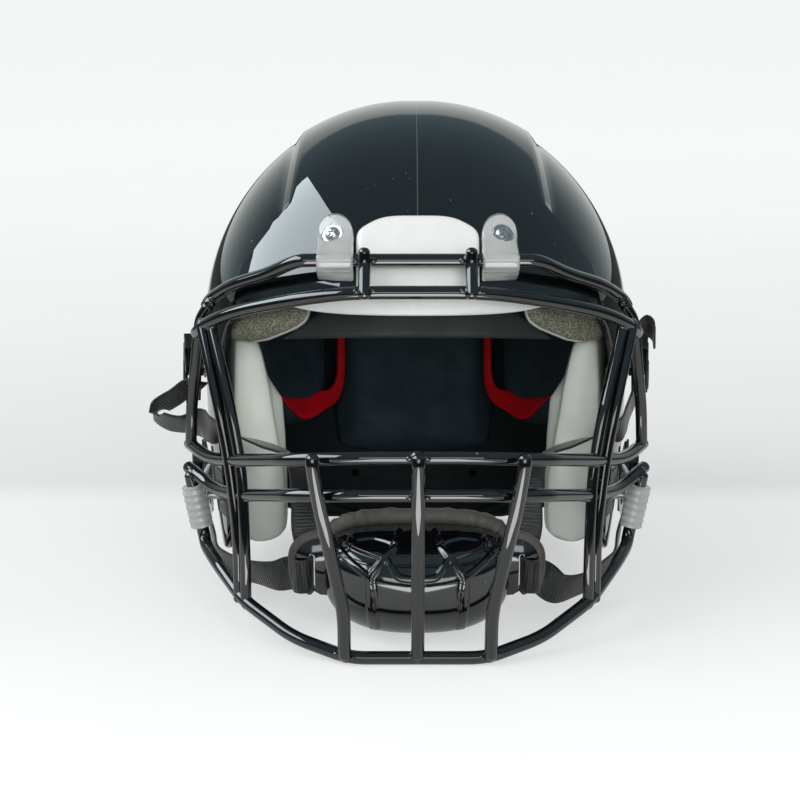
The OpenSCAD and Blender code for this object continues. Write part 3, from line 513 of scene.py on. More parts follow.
@dataclass
class Graph:
    """Adds nodes and links to one node tree."""

    tree: Tree

    def node(self, kind: str, inputs: dict[str | int, object] | None = None, **values: object) -> Node:
        """Adds a node, sets its properties and feeds its inputs, by their names or places.

        Args:
            kind: Type of the node.
            inputs: What its inputs take: outputs of other nodes or plain values.
            values: Its properties.

        Returns:
            The node.
        """
        made = self.tree.nodes.new(kind)
        for key, value in values.items():
            setattr(made, key, value)
        for key, value in (inputs or {}).items():
            if isinstance(value, Socket):
                self.link(value, made.inputs[key])
            else:
                made.inputs[key].default_value = value
        return made

    def link(self, out: Socket, into: Socket) -> None:
        """Joins an output to an input."""
        self.tree.links.new(out, into)

    def math(self, op: str, a: object, b: object = 0.0) -> Socket:
        """Result of a math node."""
        return self.node("ShaderNodeMath", {0: a, 1: b}, operation=op).outputs[0]

    def times(self, a: object, b: object) -> Socket:
        """Product of two values."""
        return self.math("MULTIPLY", a, b)

    def plus(self, a: object, b: object) -> Socket:
        """Sum of two values."""
        return self.math("ADD", a, b)

    def wave(self, value: object, pitch: float) -> Socket:
        """Sine of a distance, with its pitch in metres."""
        return self.math("SINE", self.times(value, 2 * math.pi / pitch))

    def blend(self, share: object, a: object, b: object) -> Socket:
        """Mix of two colours."""
        return self.node("ShaderNodeMix", {"Factor": share, 6: a, 7: b}, data_type="RGBA").outputs[2]

    def either(self, share: object, a: Node, b: Node) -> Node:
        """Mix of two shaders."""
        return self.node("ShaderNodeMixShader", {0: share, 1: a.outputs[0], 2: b.outputs[0]})

    def span(self, value: object, a: float, b: float, c: float = 0.0, d: float = 1.0) -> Socket:
        """Value carried from the range a..b to c..d, and held there."""
        return self.node("ShaderNodeMapRange", dict(enumerate((value, a, b, c, d)))).outputs[0]

    def coords(self, scale: Sequence[float] = (1, 1, 1), source: str = "Object") -> Socket:
        """Object or surface coordinates, scaled."""
        where = self.node("ShaderNodeTexCoord").outputs[source]
        return self.node("ShaderNodeMapping", {"Vector": where, "Scale": scale}).outputs[0]

    def noise(self, where: object, scale: object, detail: float = 2.0) -> Socket:
        """Noise from 0 to 1."""
        return self.node("ShaderNodeTexNoise", {"Vector": where, "Scale": scale, "Detail": detail}).outputs[0]

    def cells(self, where: object, scale: float) -> Socket:
        """Distance within scattered cells."""
        return self.node("ShaderNodeTexVoronoi", {"Vector": where, "Scale": scale}).outputs["Distance"]

    def bump(self, height: object, strength: float, distance: float) -> Socket:
        """Normal raised by a height; the distance is in millimetres."""
        return self.node("ShaderNodeBump",
                         {"Strength": strength, "Distance": distance * MM, "Height": height}).outputs[0]

    def split(self, vector: object) -> tuple[Socket, ...]:
        """X, Y and Z of a vector."""
        return tuple(self.node("ShaderNodeSeparateXYZ", {0: vector}).outputs)


def group(name: str, fill: Callable[[Graph, Node], dict[str, Socket]], **inputs: float) -> Tree:
    """Makes a shader node group whose sockets are all plain values.

    Args:
        name: Name of the group.
        fill: Adds the group's nodes and gives what its outputs take, by name.
        inputs: Default values of its inputs.

    Returns:
        The group's tree.
    """
    if name in bpy.data.node_groups:
        return bpy.data.node_groups[name]
    g = Graph(bpy.data.node_groups.new(name, "ShaderNodeTree"))
    for key, value in inputs.items():
        g.tree.interface.new_socket(key, in_out="INPUT", socket_type="NodeSocketFloat").default_value = value
    made = fill(g, g.node("NodeGroupInput"))
    for key in made:
        g.tree.interface.new_socket(key, in_out="OUTPUT", socket_type="NodeSocketFloat")
    end = g.node("NodeGroupOutput")
    for key, value in made.items():
        g.link(value, end.inputs[key])
    return g.tree


class Detail:
    """Shared surface effects, each a node group that gives masks, heights or colours."""

    @staticmethod
    def dust() -> Tree:
        """Sparse dust specks and hair-thin scuffs."""
        def fill(g: Graph, start: Node) -> dict[str, Socket]:
            where = g.coords()
            near = g.math("LESS_THAN", g.cells(where, 150.0), g.times(g.noise(where, 900.0, 1.0), 0.11))
            patch = g.span(g.noise(where, 16.0), 0.52, 0.66)
            wisps = g.noise(g.coords((40, 260, 90)), 3.0, 3.0)
            return {"Specks": g.times(near, patch), "Scuffs": g.span(wisps, 0.62, 0.72)}
        return group("dust_and_scuffs", fill)

    @staticmethod
    def grain() -> Tree:
        """Moulded or leather-like grain."""
        def fill(g: Graph, start: Node) -> dict[str, Socket]:
            where = g.coords()
            return {"Height": g.noise(where, start.outputs["Scale"], 3.0),
                    "Cloud": g.span(g.noise(where, 55.0, 3.0), 0.3, 0.7)}
        return group("fine_grain", fill, Scale=900.0)

    @staticmethod
    def webbing() -> Tree:
        """Cross ribs and woven edges of flat webbing, from its run and width in metres."""
        def fill(g: Graph, start: Node) -> dict[str, Socket]:
            u, v, _ = g.split(g.coords(source="UV"))
            rib, warp = g.wave(u, 0.0017), g.wave(v, 0.0011)
            twill = g.wave(g.plus(u, g.times(v, 1.3)), 0.0013)
            body = g.plus(g.times(rib, 0.55), g.times(g.times(warp, twill), 0.3))
            side = g.span(g.math("ABSOLUTE", v), 0.0072, 0.0080)
            lip = g.times(side, g.wave(u, 0.0009))
            height = g.plus(g.times(body, g.math("SUBTRACT", 1.0, side)), lip)
            return {"Height": g.span(height, -0.9, 0.9), "Edge": side}
        return group("webbing_weave", fill)

    @staticmethod
    def mesh() -> Tree:
        """Small open cells of a knitted spacer mesh."""
        def fill(g: Graph, start: Node) -> dict[str, Socket]:
            where = g.coords((1.0, 1.0, 1.25))
            return {"Height": g.span(g.cells(where, 900.0), 0.15, 0.75),
                    "Cloud": g.span(g.noise(where, 70.0, 3.0), 0.3, 0.7)}
        return group("knit_mesh", fill)


class Surface(Enum):
    """Kinds of surface that a finish can have."""

    LACQUER = "lacquer"
    MOULDED = "moulded"
    VINYL = "vinyl"
    MESH = "mesh"
    WOVEN = "woven"
    METAL = "metal"
    CLEAR = "clear"


@dataclass(frozen=True)
class Finish:
    """One finish of the helmet, which makes its own material."""

    name: str
    surface: Surface
    colour: Shade
    shade: Shade
    rough: float = 0.4
    coat: float = 0.0
    sheen: float = 0.0
    scale: float = 900.0
    depth: float = 0.05
    metal: float = 0.0
    through: float = 0.0
    specular: float = 0.5
    seam: bool = False

    def make(self) -> bpy.types.Material:
        """Gives the material, made on first use."""
        title = f"{self.name}_finish"
        if title in bpy.data.materials:
            return bpy.data.materials[title]
        mat = bpy.data.materials.new(title)
        mat.use_nodes = True
        g = Graph(mat.node_tree)
        shader = next(n for n in mat.node_tree.nodes if n.type == "BSDF_PRINCIPLED")
        for key, value in (("Metallic", self.metal), ("Coat Weight", self.coat), ("Coat Roughness", 0.03),
                           ("Sheen Weight", self.sheen), ("Sheen Roughness", 0.45),
                           ("Transmission Weight", self.through), ("Specular IOR Level", self.specular)):
            shader.inputs[key].default_value = value
        {Surface.LACQUER: self._lacquer, Surface.MOULDED: self._grained, Surface.VINYL: self._grained,
         Surface.MESH: self._mesh, Surface.WOVEN: self._woven, Surface.METAL: self._metal,
         Surface.CLEAR: self._clear}[self.surface](g, shader)
        return mat

    def _use(self, g: Graph, tree: Tree) -> Node:
        """Adds a shared effect to the material."""
        made = g.node("ShaderNodeGroup")
        made.node_tree = tree
        return made

    def _tone(self, g: Graph, share: object) -> Socket:
        """Colour between the finish's two tones."""
        return g.blend(share, linear(self.colour), linear(self.shade))

    def _rough(self, g: Graph, shader: Node, cloud: object, spread: float) -> None:
        """Roughness that varies with a cloud mask."""
        g.link(g.span(cloud, 0.0, 1.0, max(self.rough - spread, 0.02), self.rough + spread),
               shader.inputs["Roughness"])

    def _lacquer(self, g: Graph, shader: Node) -> None:
        """Gloss moulding or dipped coat with dust, faint scuffs and, on the shell, the mould's seam."""
        seam_half, seam_back, seam_tone = 0.00022, 0.02, 0.16
        dust = self._use(g, Detail.dust())
        cloud = g.noise(g.coords(), 34.0, 3.0)
        base = self._tone(g, g.span(cloud, 0.35, 0.65))
        specks = g.plus(g.times(dust.outputs["Specks"], 0.55), g.times(dust.outputs["Scuffs"], 0.012))
        if self.seam:
            x, y, _ = g.split(g.coords())
            line = g.times(g.math("LESS_THAN", g.math("ABSOLUTE", x), seam_half), g.math("LESS_THAN", y, seam_back))
            specks = g.plus(specks, g.times(line, seam_tone))
        g.link(g.blend(specks, base, linear((196, 200, 198))), shader.inputs["Base Color"])
        shader.inputs["Roughness"].default_value = self.rough
        shader.inputs["Coat Roughness"].default_value = 0.02

    def _grained(self, g: Graph, shader: Node) -> None:
        """Moulded plastic, rubber or vinyl with its own grain."""
        grain = self._use(g, Detail.grain())
        grain.inputs["Scale"].default_value = self.scale
        g.link(self._tone(g, grain.outputs["Cloud"]), shader.inputs["Base Color"])
        self._rough(g, shader, grain.outputs["Cloud"], 0.07)
        g.link(g.bump(grain.outputs["Height"], 0.45, self.depth), shader.inputs["Normal"])

    def _mesh(self, g: Graph, shader: Node) -> None:
        """Knitted mesh whose open cells are painted darker than its threads, a painted shade inside the cells."""
        knit = self._use(g, Detail.mesh())
        thread = self._tone(g, knit.outputs["Cloud"])
        # painted shade: the open cells take half the darker tone
        g.link(g.blend(knit.outputs["Height"], linear([c * 0.50 for c in self.shade]), thread),
               shader.inputs["Base Color"])
        self._rough(g, shader, knit.outputs["Cloud"], 0.08)
        g.link(g.bump(knit.outputs["Height"], 0.7, self.depth), shader.inputs["Normal"])

    def _woven(self, g: Graph, shader: Node) -> None:
        """Flat webbing with cross ribs and firm edges; its raised threads are painted lighter and its grooves darker,
        a painted highlight and shade.
        """
        weave = self._use(g, Detail.webbing())
        # painted light: the weave's height picks the colour, lighter on raised threads (painted highlight) and darker
        # in the grooves (painted shade)
        tone = g.blend(weave.outputs["Height"], linear(self.shade), linear(self.colour))
        fuzz = g.span(g.noise(g.coords(), 500.0, 3.0), 0.3, 0.7, 0.0, 0.5)
        g.link(g.blend(fuzz, tone, linear(self.shade)), shader.inputs["Base Color"])
        self._rough(g, shader, weave.outputs["Edge"], 0.08)
        g.link(g.bump(weave.outputs["Height"], 0.8, self.depth), shader.inputs["Normal"])

    def _metal(self, g: Graph, shader: Node) -> None:
        """Plated steel with faint turning marks."""
        marks = g.noise(g.coords((1, 1, 30)), 160.0, 3.0)
        g.link(self._tone(g, g.span(marks, 0.3, 0.7)), shader.inputs["Base Color"])
        self._rough(g, shader, marks, 0.08)
        g.link(g.bump(marks, 0.2, self.depth), shader.inputs["Normal"])

    def _clear(self, g: Graph, shader: Node) -> None:
        """Clear or milky moulding with a slightly wavy face and small scuffs."""
        dust = self._use(g, Detail.dust())
        cloud = g.span(g.noise(g.coords(), 120.0, 3.0), 0.3, 0.7)
        g.link(self._tone(g, cloud), shader.inputs["Base Color"])
        g.link(g.plus(g.times(dust.outputs["Scuffs"], 0.04), self.rough), shader.inputs["Roughness"])
        g.link(g.bump(g.noise(g.coords(), self.scale), 0.3, self.depth), shader.inputs["Normal"])


SHELL_GLOSS = Finish("shell_gloss", Surface.LACQUER, (11, 15, 15), (8, 12, 13), rough=0.0, coat=1.0, seam=True)
SHELL_INSIDE = Finish("shell_inside", Surface.MOULDED, (24, 31, 35), (18, 24, 27), rough=0.6, specular=0.3)
GUARD_COAT = Finish("guard_coat", Surface.LACQUER, (17, 19, 19), (11, 12, 13), rough=0.04, coat=0.6, specular=0.8)
CUP_GLOSS = Finish("cup_gloss", Surface.LACQUER, (12, 14, 19), (8, 10, 14), rough=0.10, coat=0.5, specular=1.0)
BUMPER_WHITE = Finish("bumper_white", Surface.CLEAR, (246, 248, 246), (241, 244, 242), rough=0.24,
                      scale=700.0, depth=0.05, coat=0.3)
BUMPER_DARK = Finish("bumper_dark", Surface.MOULDED, (34, 37, 38), (26, 28, 29), rough=0.42, scale=1400.0)
CLIP_CLEAR = Finish("clip_clear", Surface.CLEAR, (248, 250, 249), (238, 242, 241), rough=0.10,
                    scale=420.0, depth=0.05, through=0.48, coat=0.5)
STEEL = Finish("steel", Surface.METAL, (226, 226, 226), (200, 201, 202), rough=0.3, metal=1.0, depth=0.02)
BROW_VINYL = Finish("brow_vinyl", Surface.VINYL, (40, 47, 46), (34, 41, 40), rough=0.55, specular=0.3,
                    scale=1500.0, depth=0.05)
MESH_CLOTH = Finish("mesh_cloth", Surface.MESH, (160, 160, 140), (134, 134, 118), rough=0.8, specular=0.2, depth=0.35)
PIPING = Finish("piping", Surface.VINYL, (196, 200, 192), (176, 181, 172), rough=0.45, scale=1600.0)
JAW_VINYL = Finish("jaw_vinyl", Surface.VINYL, (240, 246, 237), (233, 240, 230), rough=0.42, coat=0.08,
                   scale=1300.0, depth=0.04)
LINER = Finish("liner_fabric", Surface.VINYL, (50, 66, 75), (40, 54, 62), rough=0.7, specular=0.25,
               scale=1900.0, depth=0.08)
RED_BAND = Finish("red_band", Surface.VINYL, (222, 20, 36), (198, 14, 28), rough=0.6, specular=0.15,
                  scale=1700.0, depth=0.06)
# The webbing's two tones are its painted lit thread tops and its painted shaded grooves.
WEBBING = Finish("webbing", Surface.WOVEN, (50, 53, 56), (12, 13, 15), rough=0.42, sheen=0.3, depth=0.30)
BUCKLE = Finish("buckle_plastic", Surface.MOULDED, (30, 31, 32), (21, 22, 23), rough=0.33, scale=1500.0)
SNAP = Finish("snap_plastic", Surface.MOULDED, (52, 54, 55), (42, 44, 45), rough=0.4, scale=1500.0)
BLACK_OXIDE = Finish("black_oxide", Surface.METAL, (30, 31, 32), (20, 21, 22), rough=0.4, metal=1.0, depth=0.02)
RUBBER = Finish("port_rubber", Surface.MOULDED, (28, 29, 30), (20, 21, 22), rough=0.55, scale=1200.0)
CUP_PAD = Finish("cup_pad", Surface.VINYL, (92, 90, 84), (68, 67, 62), rough=0.6, sheen=0.3, scale=1400.0, depth=0.12)


def dress(obj: Piece, finish: Finish, slot: str, *nodes: str, body: str = Body.HELMET.value) -> Piece:
    """Gives a new piece its finish, its body and the nodes that it stands for.

    Args:
        obj: The piece.
        finish: Its finish.
        slot: Material slot of the record; not used.
        nodes: CAD nodes that it replaces.
        body: Body that it rides on.

    Returns:
        The piece.
    """
    if not obj.data.materials:
        obj.data.materials.append(finish.make())
    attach(obj, body)
    if nodes:
        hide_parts(*nodes)
    return obj


def refinish(finish: Finish, *nodes: str) -> None:
    """Gives the CAD nodes that stay their finish."""
    for obj in (frame["nodes"][node] for node in nodes):
        if not obj.material_slots:
            obj.data.materials.append(None)
        for slot in obj.material_slots:
            slot.material = finish.make()


# ---- shell ----


@dataclass
class Shell:
    """Moulded shell with a raised centre panel, vents, ear holes and the face opening."""

    dome: Dome = DOME
    wall: float = 4.0
    rise: float = PANEL_RISE
    pole: tuple[float, float] = (-20.0, 165.0)
    columns: int = 208
    edge_r: float = 1.6
    slope: tuple[float, float] = (7.5, 5.0)
    slope_z: float = 214.0
    ear: tuple[float, float, float] = (15.0, 100.0, 30.0)
    vents: tuple[tuple[float, float], ...] = ((66.0, 14.0), (62.0, 84.0))
    outline: tuple[tuple[float, float], ...] = (
        (-190, 172), (-106, 171), (-82, 166), (-69, 160), (-61, 150), (-57, 134), (-56, 118), (-60, 92),
        (-66, 68), (-68, 50), (-65, 37), (-56, 29), (-44, 26), (-10, 24), (50, 21), (78, 13), (94, 0),
        (190, 0))
    front_edge: tuple[tuple[float, float], ...] = ((57, 300), (62, 245), (66, 214), (90, 183), (96, 150))
    rear_edge: tuple[tuple[float, float], ...] = ((57, 300), (57, 200), (44, 90), (36, 56), (32, 0))

    def ridge_x(self, y: Array, z: Array) -> Array:
        """Half width of the centre panel at a standing y and z."""
        halves = []
        for edge in (self.front_edge, self.rear_edge):
            x, up = np.array(edge[::-1]).T
            halves.append(np.interp(z, up, x))
        share = smooth(10, 85, y)
        return halves[0] * (1 - share) + halves[1] * share

    def cut_radius(self, turn: Array, inset: float) -> Array:
        """Distance from the pole to the lower outline along each direction."""
        route = rounded([(y, z, 0) for y, z in self.outline], 7, 6)[:, :2] - self.pole
        out = np.full(turn.shape, 1e3)
        d = np.stack([np.cos(turn), np.sin(turn)], -1)
        for a, b in zip(route, route[1:]):
            e = b - a
            det = d[:, 0] * e[1] - d[:, 1] * e[0]
            det = np.where(np.abs(det) < 1e-9, 1e-9, det)
            r = (a[0] * e[1] - a[1] * e[0]) / det
            k = (a[0] * d[:, 1] - a[1] * d[:, 0]) / det
            hit = (k >= -1e-6) & (k <= 1 + 1e-6) & (r > 0)
            out = np.where(hit, np.minimum(out, r), out)
        return out - inset

    def crown_radius(self, turn: Array, off: float) -> Array:
        """Distance from the pole to the dome's middle line along each direction."""
        start = np.zeros(turn.shape + (3,)) + [0, *self.pole]
        way = np.stack([0 * turn, np.cos(turn), np.sin(turn)], -1)
        return self.dome.reach(start, way, off)

    def corners(self, off: float) -> tuple[float, float]:
        """Directions in which the outline meets the middle line, at the brow and at the rear."""
        turn = np.radians(np.linspace(-90, 270, 14401))
        free = self.crown_radius(turn, off) < self.cut_radius(turn, 0)
        edge = np.nonzero(np.diff(free.astype(int)))[0]
        rear, brow = turn[edge[0]], turn[edge[-1]]
        return float(brow), float(rear)

    def turns(self) -> tuple[Array, int]:
        """Directions of the columns from the rear corner up, over and round, and the brow corner's index."""
        brow, rear = self.corners(0.0)
        fine = np.linspace(rear, rear + 2 * math.pi, 6001)
        r = np.minimum(self.crown_radius(fine, 0.0), self.cut_radius(fine, 0))
        pts = np.stack([r * np.cos(fine), r * np.sin(fine)], -1)
        step = np.linalg.norm(np.diff(pts, axis=0), axis=1) + 90 * (fine[1] - fine[0])
        run = np.concatenate([[0], np.cumsum(step)])
        run /= run[-1]
        top = float(np.interp(brow, fine, run))
        first = int(round(self.columns * top))
        where = np.concatenate([np.linspace(0, top, first, endpoint=False),
                                np.linspace(top, 1, self.columns - first, endpoint=False)])
        return np.interp(where, run, fine), first

    def layer(self, turn: Array, off: float, free: Array, ramp: bool) -> Array:
        """Rows of points from the pole to the edge for one side of the wall.

        Args:
            turn: Directions of the columns.
            off: Distance off the dome.
            free: Which columns end on the middle line.
            ramp: Whether the centre panel stands proud.

        Returns:
            Points, with rows from near the pole outwards.
        """
        whole = self.crown_radius(turn, off)
        end = np.where(free, whole, np.minimum(self.cut_radius(turn, self.edge_r), whole))
        last = np.where(free, math.pi / 2, np.arcsin(np.clip(end / whole, 0, 1)))

        def spread(angle: Array) -> tuple[Array, Array]:
            """Y and z at an angle from the pole along each direction."""
            return tuple(c + whole * np.sin(angle) * f(turn) for c, f in zip(self.pole, (np.cos, np.sin)))

        fine = np.linspace(0, 1, 241)[:, None] * last
        y, z = spread(fine)
        x = self.dome.side_x(y, z, off)
        gap = x - self.ridge_x(y, z)
        pts = np.stack([x, y, z], -1)
        run = run_of(pts)
        crossed = (gap < 0).any(0)
        k = np.argmax(gap < 0, axis=0)
        cols = np.arange(len(turn))
        prev = np.maximum(k - 1, 0)
        part = gap[prev, cols] / np.maximum(gap[prev, cols] - gap[k, cols], 1e-9)
        at = np.where(crossed, run[prev, cols] + part * (run[k, cols] - run[prev, cols]), 1e4)
        total = run[-1]
        width = np.where(pts[k, cols, 2] > self.slope_z, *self.slope)
        aim = np.minimum(at, total * 0.86)
        half = np.minimum(width / 2, total * 0.02)
        heads = np.linspace(0.05, 1, 19)[:, None] * (aim - half - 0.5)
        ridge = np.stack([aim - half, aim - half + 0.5, aim, aim + half - 0.5, aim + half])
        tails = aim + half + 0.5 + np.linspace(0, 1, 22)[:, None] * (total - aim - half - 0.5)
        rows = np.concatenate([heads, ridge, tails])
        turned = np.stack([np.interp(rows[:, c], run[:, c], fine[:, c]) for c in cols], 1)
        y, z = spread(turned)
        grow = off
        if ramp:
            share = np.clip((rows - (at - width / 2)) / width, 0, 1)
            fade = np.where(y > 40, smooth(50, 92, z), 1.0)
            grow = off + self.rise * share * fade
            lift = 1 + grow / np.maximum(whole, 1) * (np.sin(turned) * free)
            y, z = (c + (v - c) * lift for c, v in zip(self.pole, (y, z)))
        x = self.dome.side_x(y, z, grow)
        x = np.where(free & (turned > math.pi / 2 - 1e-4), 0.0, x)
        return np.stack([x, y, z], -1)

    def fan(self, form: Form, ids: Array, off: float, flip: bool) -> None:
        """Closes the innermost row with rings of half as many columns each."""
        centre = np.array([float(self.dome.side_x(*self.pole, off)), *self.pole])
        ring, pole = ids, form.add(centre[None])[0]
        pts = np.vstack(form.points)
        while len(ring) > 13:
            n = len(ring) // 2
            inner = centre + (pts[ring[::2]] - centre) * 0.62
            inner[:, 0] = self.dome.side_x(inner[:, 1], inner[:, 2], off)
            new = form.add(inner)
            pts = np.vstack(form.points)
            for k in range(n):
                f = (ring[2 * k], ring[2 * k + 1], ring[(2 * k + 2) % len(ring)], new[(k + 1) % n], new[k])
                form.cap(f, flip)
            ring = new
        for k in range(len(ring)):
            form.cap((ring[k], ring[(k + 1) % len(ring)], pole), flip)

    def half(self, form: Form) -> None:
        """Adds the right half: both sides of the wall and the rolled edge between them."""
        turn, first = self.turns()
        free = np.zeros(len(turn), bool)
        free[:first + 1] = True
        outer = self.layer(turn, 0.0, free, True)
        brow_in, rear_in = self.corners(-self.wall)
        shift = np.zeros(len(turn))
        for at, to in ((turn[first], brow_in), (turn[0], rear_in)):
            away = np.abs((turn - at + math.pi) % (2 * math.pi) - math.pi)
            shift += (((to - at + math.pi) % (2 * math.pi)) - math.pi) * np.clip(1 - away / 0.25, 0, 1)
        inner = self.layer(turn + shift, -self.wall, free, False)
        out_ids, in_ids = form.add(outer), form.add(inner)
        form.quads(out_ids, wrap=True)
        form.quads(in_ids, wrap=True, flip=True)
        for ids, off, flip in ((out_ids[0], 0.0, True), (in_ids[0], -self.wall, False)):
            self.fan(form, ids, off, flip)
        cols = np.append(np.arange(first, len(turn)), 0)
        a, b = outer[-1, cols], inner[-1, cols]
        mid, arm = (a + b) / 2, (a - b) / 2
        out = headings(mid)[:, [0, 2, 1]] * [0, 1, -1]
        away = mid[:, 1:] - self.pole
        out = unit(out * np.where((out[:, 1:] * away).sum(1) > 0, 1, -1)[:, None])
        rows = [mid + arm * math.cos(t) + out * self.edge_r * math.sin(t)
                for t in np.radians([25, 50, 75, 105, 130, 155])]
        form.quads(np.vstack([out_ids[-1:, cols], form.add(np.array(rows)), in_ids[-1:, cols]]))

    def build(self) -> Piece:
        """Builds the whole shell and cuts its holes."""
        form = Form()
        self.half(form)
        pts = np.vstack(form.points)
        n = len(pts)
        form.add(pts * [-1, 1, 1])
        form.faces += [tuple(i + n for i in f[::-1]) for f in form.faces]
        obj = form.build("shell_moulding", weld=0.02, sharp=38)
        y, z, d = self.ear
        carved(obj, peg(d / 2, 400, 96, (0, y, z)))
        for x, y in self.vents:
            for side in (-1, 1):
                carved(obj, self.slot_tool(side * x, y))
        shade(obj, 38)
        obj.data.materials.append(SHELL_GLOSS.make())
        obj.data.materials.append(SHELL_INSIDE.make())
        for poly in obj.data.polygons:
            c = np.array(poly.center) / MM - [0, CENTRE_Y, 0]
            poly.material_index = int(self.dome.room(c, -self.wall * 0.6) > 0)
        return obj

    def slot_tool(self, x: float, y: float) -> Piece:
        """Upright rounded bar that cuts one vent."""
        form = Form()
        a = np.linspace(0, 2 * math.pi, 40, endpoint=False)
        ring = np.stack([3.5 * np.cos(a), 3.5 * np.sin(a) + 8.5 * np.sign(np.sin(a) + 1e-9)], -1)
        turn = math.radians(-8 * np.sign(x))
        ring = ring @ np.array([[math.cos(turn), math.sin(turn)], [-math.sin(turn), math.cos(turn)]])
        form.skin(np.array([[[x + p[0], y + p[1], z] for p in ring] for z in (170, 300)]))
        return form.build("slot_tool")

    def dress(self, obj: Piece) -> None:
        """Puts the shell on its body and finishes what stays of the shell's small fittings."""
        dress(obj, SHELL_GLOSS, "shell_gloss", "shell")
        refinish(RUBBER, "ear_trim", "air_valves")
        refinish(SNAP, "jaw_pad_snaps")
        refinish(STEEL, "top_clip_nuts", "side_clip_nuts", "strap_studs")
        refinish(BLACK_OXIDE, "rear_bumper_screws")


# ---- bumpers, clips and screws ----


@dataclass
class Bumpers:
    """White plate on the brow with its lip, and the dark strip round the rear rim."""

    dome: Dome = DOME
    seat: float = PANEL_RISE + 0.4
    thick: float = 2.4
    half: float = 30.3
    low: float = 177.5
    top: float = 215.0

    def plate_spot(self, s: Array, t: Array, off: Array) -> Array:
        """Point of the plate, whose top is domed."""
        z = self.low + (self.top - self.low) * (t + 1) / 2
        bend = np.clip((z - (self.top - 12)) / 12, 0, 1)
        x = s * self.half * np.sqrt(1 - 0.34 * bend ** 3)
        z = z - 4.2 * bend * np.abs(s) ** 4
        return self.dome.front(x, z, off)

    def lip_spot(self, s: Array, t: Array, off: Array) -> Array:
        """Point of the lip, whose ends taper to points."""
        x = 62 * s
        low = 168.6 + 2.0 * np.abs(s) ** 6
        high = np.interp(np.abs(s), [0, 0.5, 0.78, 0.92, 1.0], [180.0, 179.6, 177.4, 174.4, 171.6])
        z = low + (high - low) * (t + 1) / 2
        return self.dome.front(x, z, off)

    def strip_spot(self, s: Array, t: Array, off: Array) -> Array:
        """Point of the rear strip."""
        z = 24 + 16 * t * np.sqrt(1 - 0.35 * np.abs(s) ** 8)
        return self.dome.front(54 * s * np.sqrt(1 - 0.06 * t ** 8), z, off, 1)

    def build(self) -> tuple[Piece, Piece]:
        """Builds the brow plate and the rear strip."""
        form = Form()
        slab(form, self.plate_spot, (26, 16), self.seat, self.seat + self.thick + 0.25, (0.07, 0.12))
        slab(form, self.lip_spot, (40, 6), self.seat - 1.5, self.seat + self.thick, (0.05, 0.4))
        plate = form.build("brow_bumper", sharp=60)
        form = Form()
        slab(form, self.strip_spot, (36, 8), 0.35, 2.95, (0.05, 0.16))
        strip = form.build("rear_strip", sharp=60)
        return plate, strip

    def dress(self, made: tuple[Piece, Piece]) -> None:
        """Finishes both bumpers."""
        dress(made[0], BUMPER_WHITE, "bumper_white", "front_bumper")
        dress(made[1], BUMPER_DARK, "bumper_dark", "rear_bumper")


@dataclass
class Screw:
    """Pan-head screw with a cross recess and a washer ring, its seat at the origin."""

    head: float = 7.4
    height: float = 2.6
    washer: float = 10.6
    shank: float = 8.0
    shank_d: float = 4.8

    def build(self, name: str, at: Array, way: Array, turn: float = 0.4) -> Piece:
        """Builds one screw at a point and direction."""
        low, pin, ring, cap = -self.shank, self.shank_d / 2, self.washer / 2, self.head / 2
        profile = [(0.0, low), (pin - 0.3, low), (pin, low + 0.4), (pin, -0.02), (ring - 0.2, 0.0), (ring, 0.2),
                   (ring, 0.45), (ring - 0.25, 0.65), (cap + 0.35, 0.65), (cap + 0.15, 0.4), (cap, 0.55),
                   (cap, 0.75), (cap * 0.92, 1.35), (cap * 0.76, 1.95), (cap * 0.52, 2.4), (cap * 0.24, 2.58),
                   (0.0, self.height)]
        form = Form()
        rows = [np.column_stack([circle(48) * r, np.full(48, z)]) - [0, CENTRE_Y, 0] for r, z in profile]
        form.quads(form.add(np.array(rows)), wrap=True)
        obj = form.build(name)
        for k in (0, 1):
            bar = box((self.head * 0.62, 1.1, 2.4), (0, 0, self.height * MM), k * math.pi / 2)
            bevelled(bar, 0.3, 2)
            carved(obj, bar)
        bevelled(obj, 0.14, 2, 40)
        shade(obj, 32)
        obj.rotation_euler = (0, 0, turn)
        settle(obj)
        pointed(obj, way, at)
        return obj


